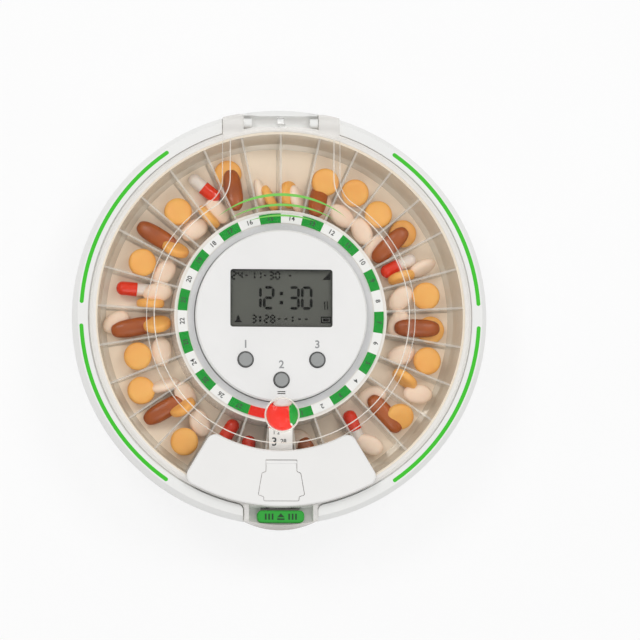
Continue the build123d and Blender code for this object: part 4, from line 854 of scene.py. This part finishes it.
# painted highlights: milky strips on the plateau's top edge, its foot and round the lens stand for the glints
# these edges catch
band("plateau_edge_glint", upper_edge, 0.55 * MM, 0.16 * MM, plateau_top, edge_glint_bright, "lid")
band("plateau_foot_glint", lower_edge, 0.5 * MM, 0.14 * MM, lid_flat, edge_glint_faint, "lid")
lens_edge = ring(8.95, LENS_MIDDLE)
lens_top = plateau_top + 0.6 * MM
band("lens_rim_glint", lens_edge, 0.66 * MM, 0.14 * MM, lens_top, edge_glint_bright, "lid", closed=True)


# ---------------------------------------------------------------- floor, lamps, world and camera
GLOW_SHARE = 0.75               # of the floor's own white in what the camera sees of it


def studio_floor():
    """A wide pale sheet under the dispenser. The camera sees it nearly white, with its shadow."""
    finish = Finish("studio_floor")
    speck = finish.noise(4.0)
    finish.colour(finish.blend(finish.ramp(speck, 0.0, 1.0), srgb(246, 246, 246), srgb(242, 242, 242)))
    finish.set(Roughness=0.6)
    glow = finish.add("ShaderNodeEmission", Strength=1.0)
    path = finish.add("ShaderNodeLightPath")
    seen = finish.math("MAXIMUM", path.outputs["Is Camera Ray"], path.outputs["Is Transmission Ray"])
    share = finish.math("MULTIPLY", seen, GLOW_SHARE)
    either = finish.mix(share, finish.shader.outputs["BSDF"], glow.outputs["Emission"])
    finish.join(either, finish.output.inputs["Surface"])
    half = 3.0
    corners = [(-half, -half, 0), (half, -half, 0), (half, half, 0), (-half, half, 0)]
    mesh = bpy.data.meshes.new("studio_floor")
    mesh.from_pydata(corners, [], [(0, 1, 2, 3)])
    mesh.materials.append(finish.material)
    floor = bpy.data.objects.new("studio_floor", mesh)
    bpy.context.scene.collection.objects.link(floor)


def soft_lamp(name, spot, aim, width, power):
    """A square lamp of that width in metres, facing its aim."""
    light = bpy.data.lights.new(name, "AREA")
    light.size = width
    light.energy = power
    lamp = bpy.data.objects.new(name, light)
    direction = Vector(aim) - Vector(spot)
    lamp.rotation_euler = direction.to_track_quat("-Z", "Y").to_euler()
    lamp.location = spot
    bpy.context.scene.collection.objects.link(lamp)


def white_world(light_strength):
    """Even light from all round. Camera rays and rays through glass see plain white."""
    world = bpy.data.worlds.new("white_studio")
    world.use_nodes = True
    tree = world.node_tree
    background = tree.nodes["Background"]
    background.inputs["Color"].default_value = (1, 1, 1, 1)
    path = tree.nodes.new("ShaderNodeLightPath")
    first = tree.nodes.new("ShaderNodeMath")
    first.operation = "MAXIMUM"
    tree.links.new(path.outputs["Is Camera Ray"], first.inputs[0])
    tree.links.new(path.outputs["Is Transmission Ray"], first.inputs[1])
    strength = tree.nodes.new("ShaderNodeMapRange")
    tree.links.new(first.outputs["Value"], strength.inputs["Value"])
    strength.inputs["To Min"].default_value = light_strength
    strength.inputs["To Max"].default_value = 1.0
    tree.links.new(strength.outputs["Result"], background.inputs["Strength"])
    bpy.context.scene.world = world


studio_floor()
white_world(light_strength=0.66)
LAMP_AIM = (0, 0, 0.03)
LAMP_WIDTH = 0.9
soft_lamp("left_lamp", (-1.2, 1.3, 2.4), LAMP_AIM, LAMP_WIDTH, 15.5)
soft_lamp("right_lamp", (1.2, 1.1, 2.4), LAMP_AIM, LAMP_WIDTH, 12.0)
soft_lamp("front_lamp", (0.2, -1.5, 2.4), LAMP_AIM, LAMP_WIDTH, 7.0)

PHOTO_PIXELS = 640
SENSOR_WIDTH = 36.0             # mm, as a camera's sensor
PIXEL = 0.530 * MM              # size of one pixel of the photograph at the rim
RIM_HEIGHT = 46.5 * MM
CAMERA_HEIGHT = 2.6
LEAN = Vector((0.08, 0.08))     # offset to the left and towards the latch for each metre of height
RIM_CENTRE_PIXEL = (280.1, 317.2)

aim = Vector((
    (PHOTO_PIXELS / 2 - RIM_CENTRE_PIXEL[0]) * PIXEL,
    (RIM_CENTRE_PIXEL[1] - PHOTO_PIXELS / 2) * PIXEL,
    RIM_HEIGHT,
))
spot = Vector((-LEAN.x * CAMERA_HEIGHT, -LEAN.y * CAMERA_HEIGHT, CAMERA_HEIGHT))
backward = (spot - aim).normalized()
right = Vector((0, 1, 0)).cross(backward).normalized()
upward = backward.cross(right)
photo_camera = bpy.data.objects.new("photo_camera", bpy.data.cameras.new("photo_camera"))
photo_camera.matrix_world = Matrix.Translation(spot) @ Matrix((right, upward, backward)).transposed().to_4x4()
photo_camera.data.sensor_width = SENSOR_WIDTH
photo_camera.data.lens = SENSOR_WIDTH * (spot - aim).length / (PHOTO_PIXELS * PIXEL)
bpy.context.scene.collection.objects.link(photo_camera)
bpy.context.scene.camera = photo_camera
bpy.context.scene.view_settings.view_transform = "Standard"
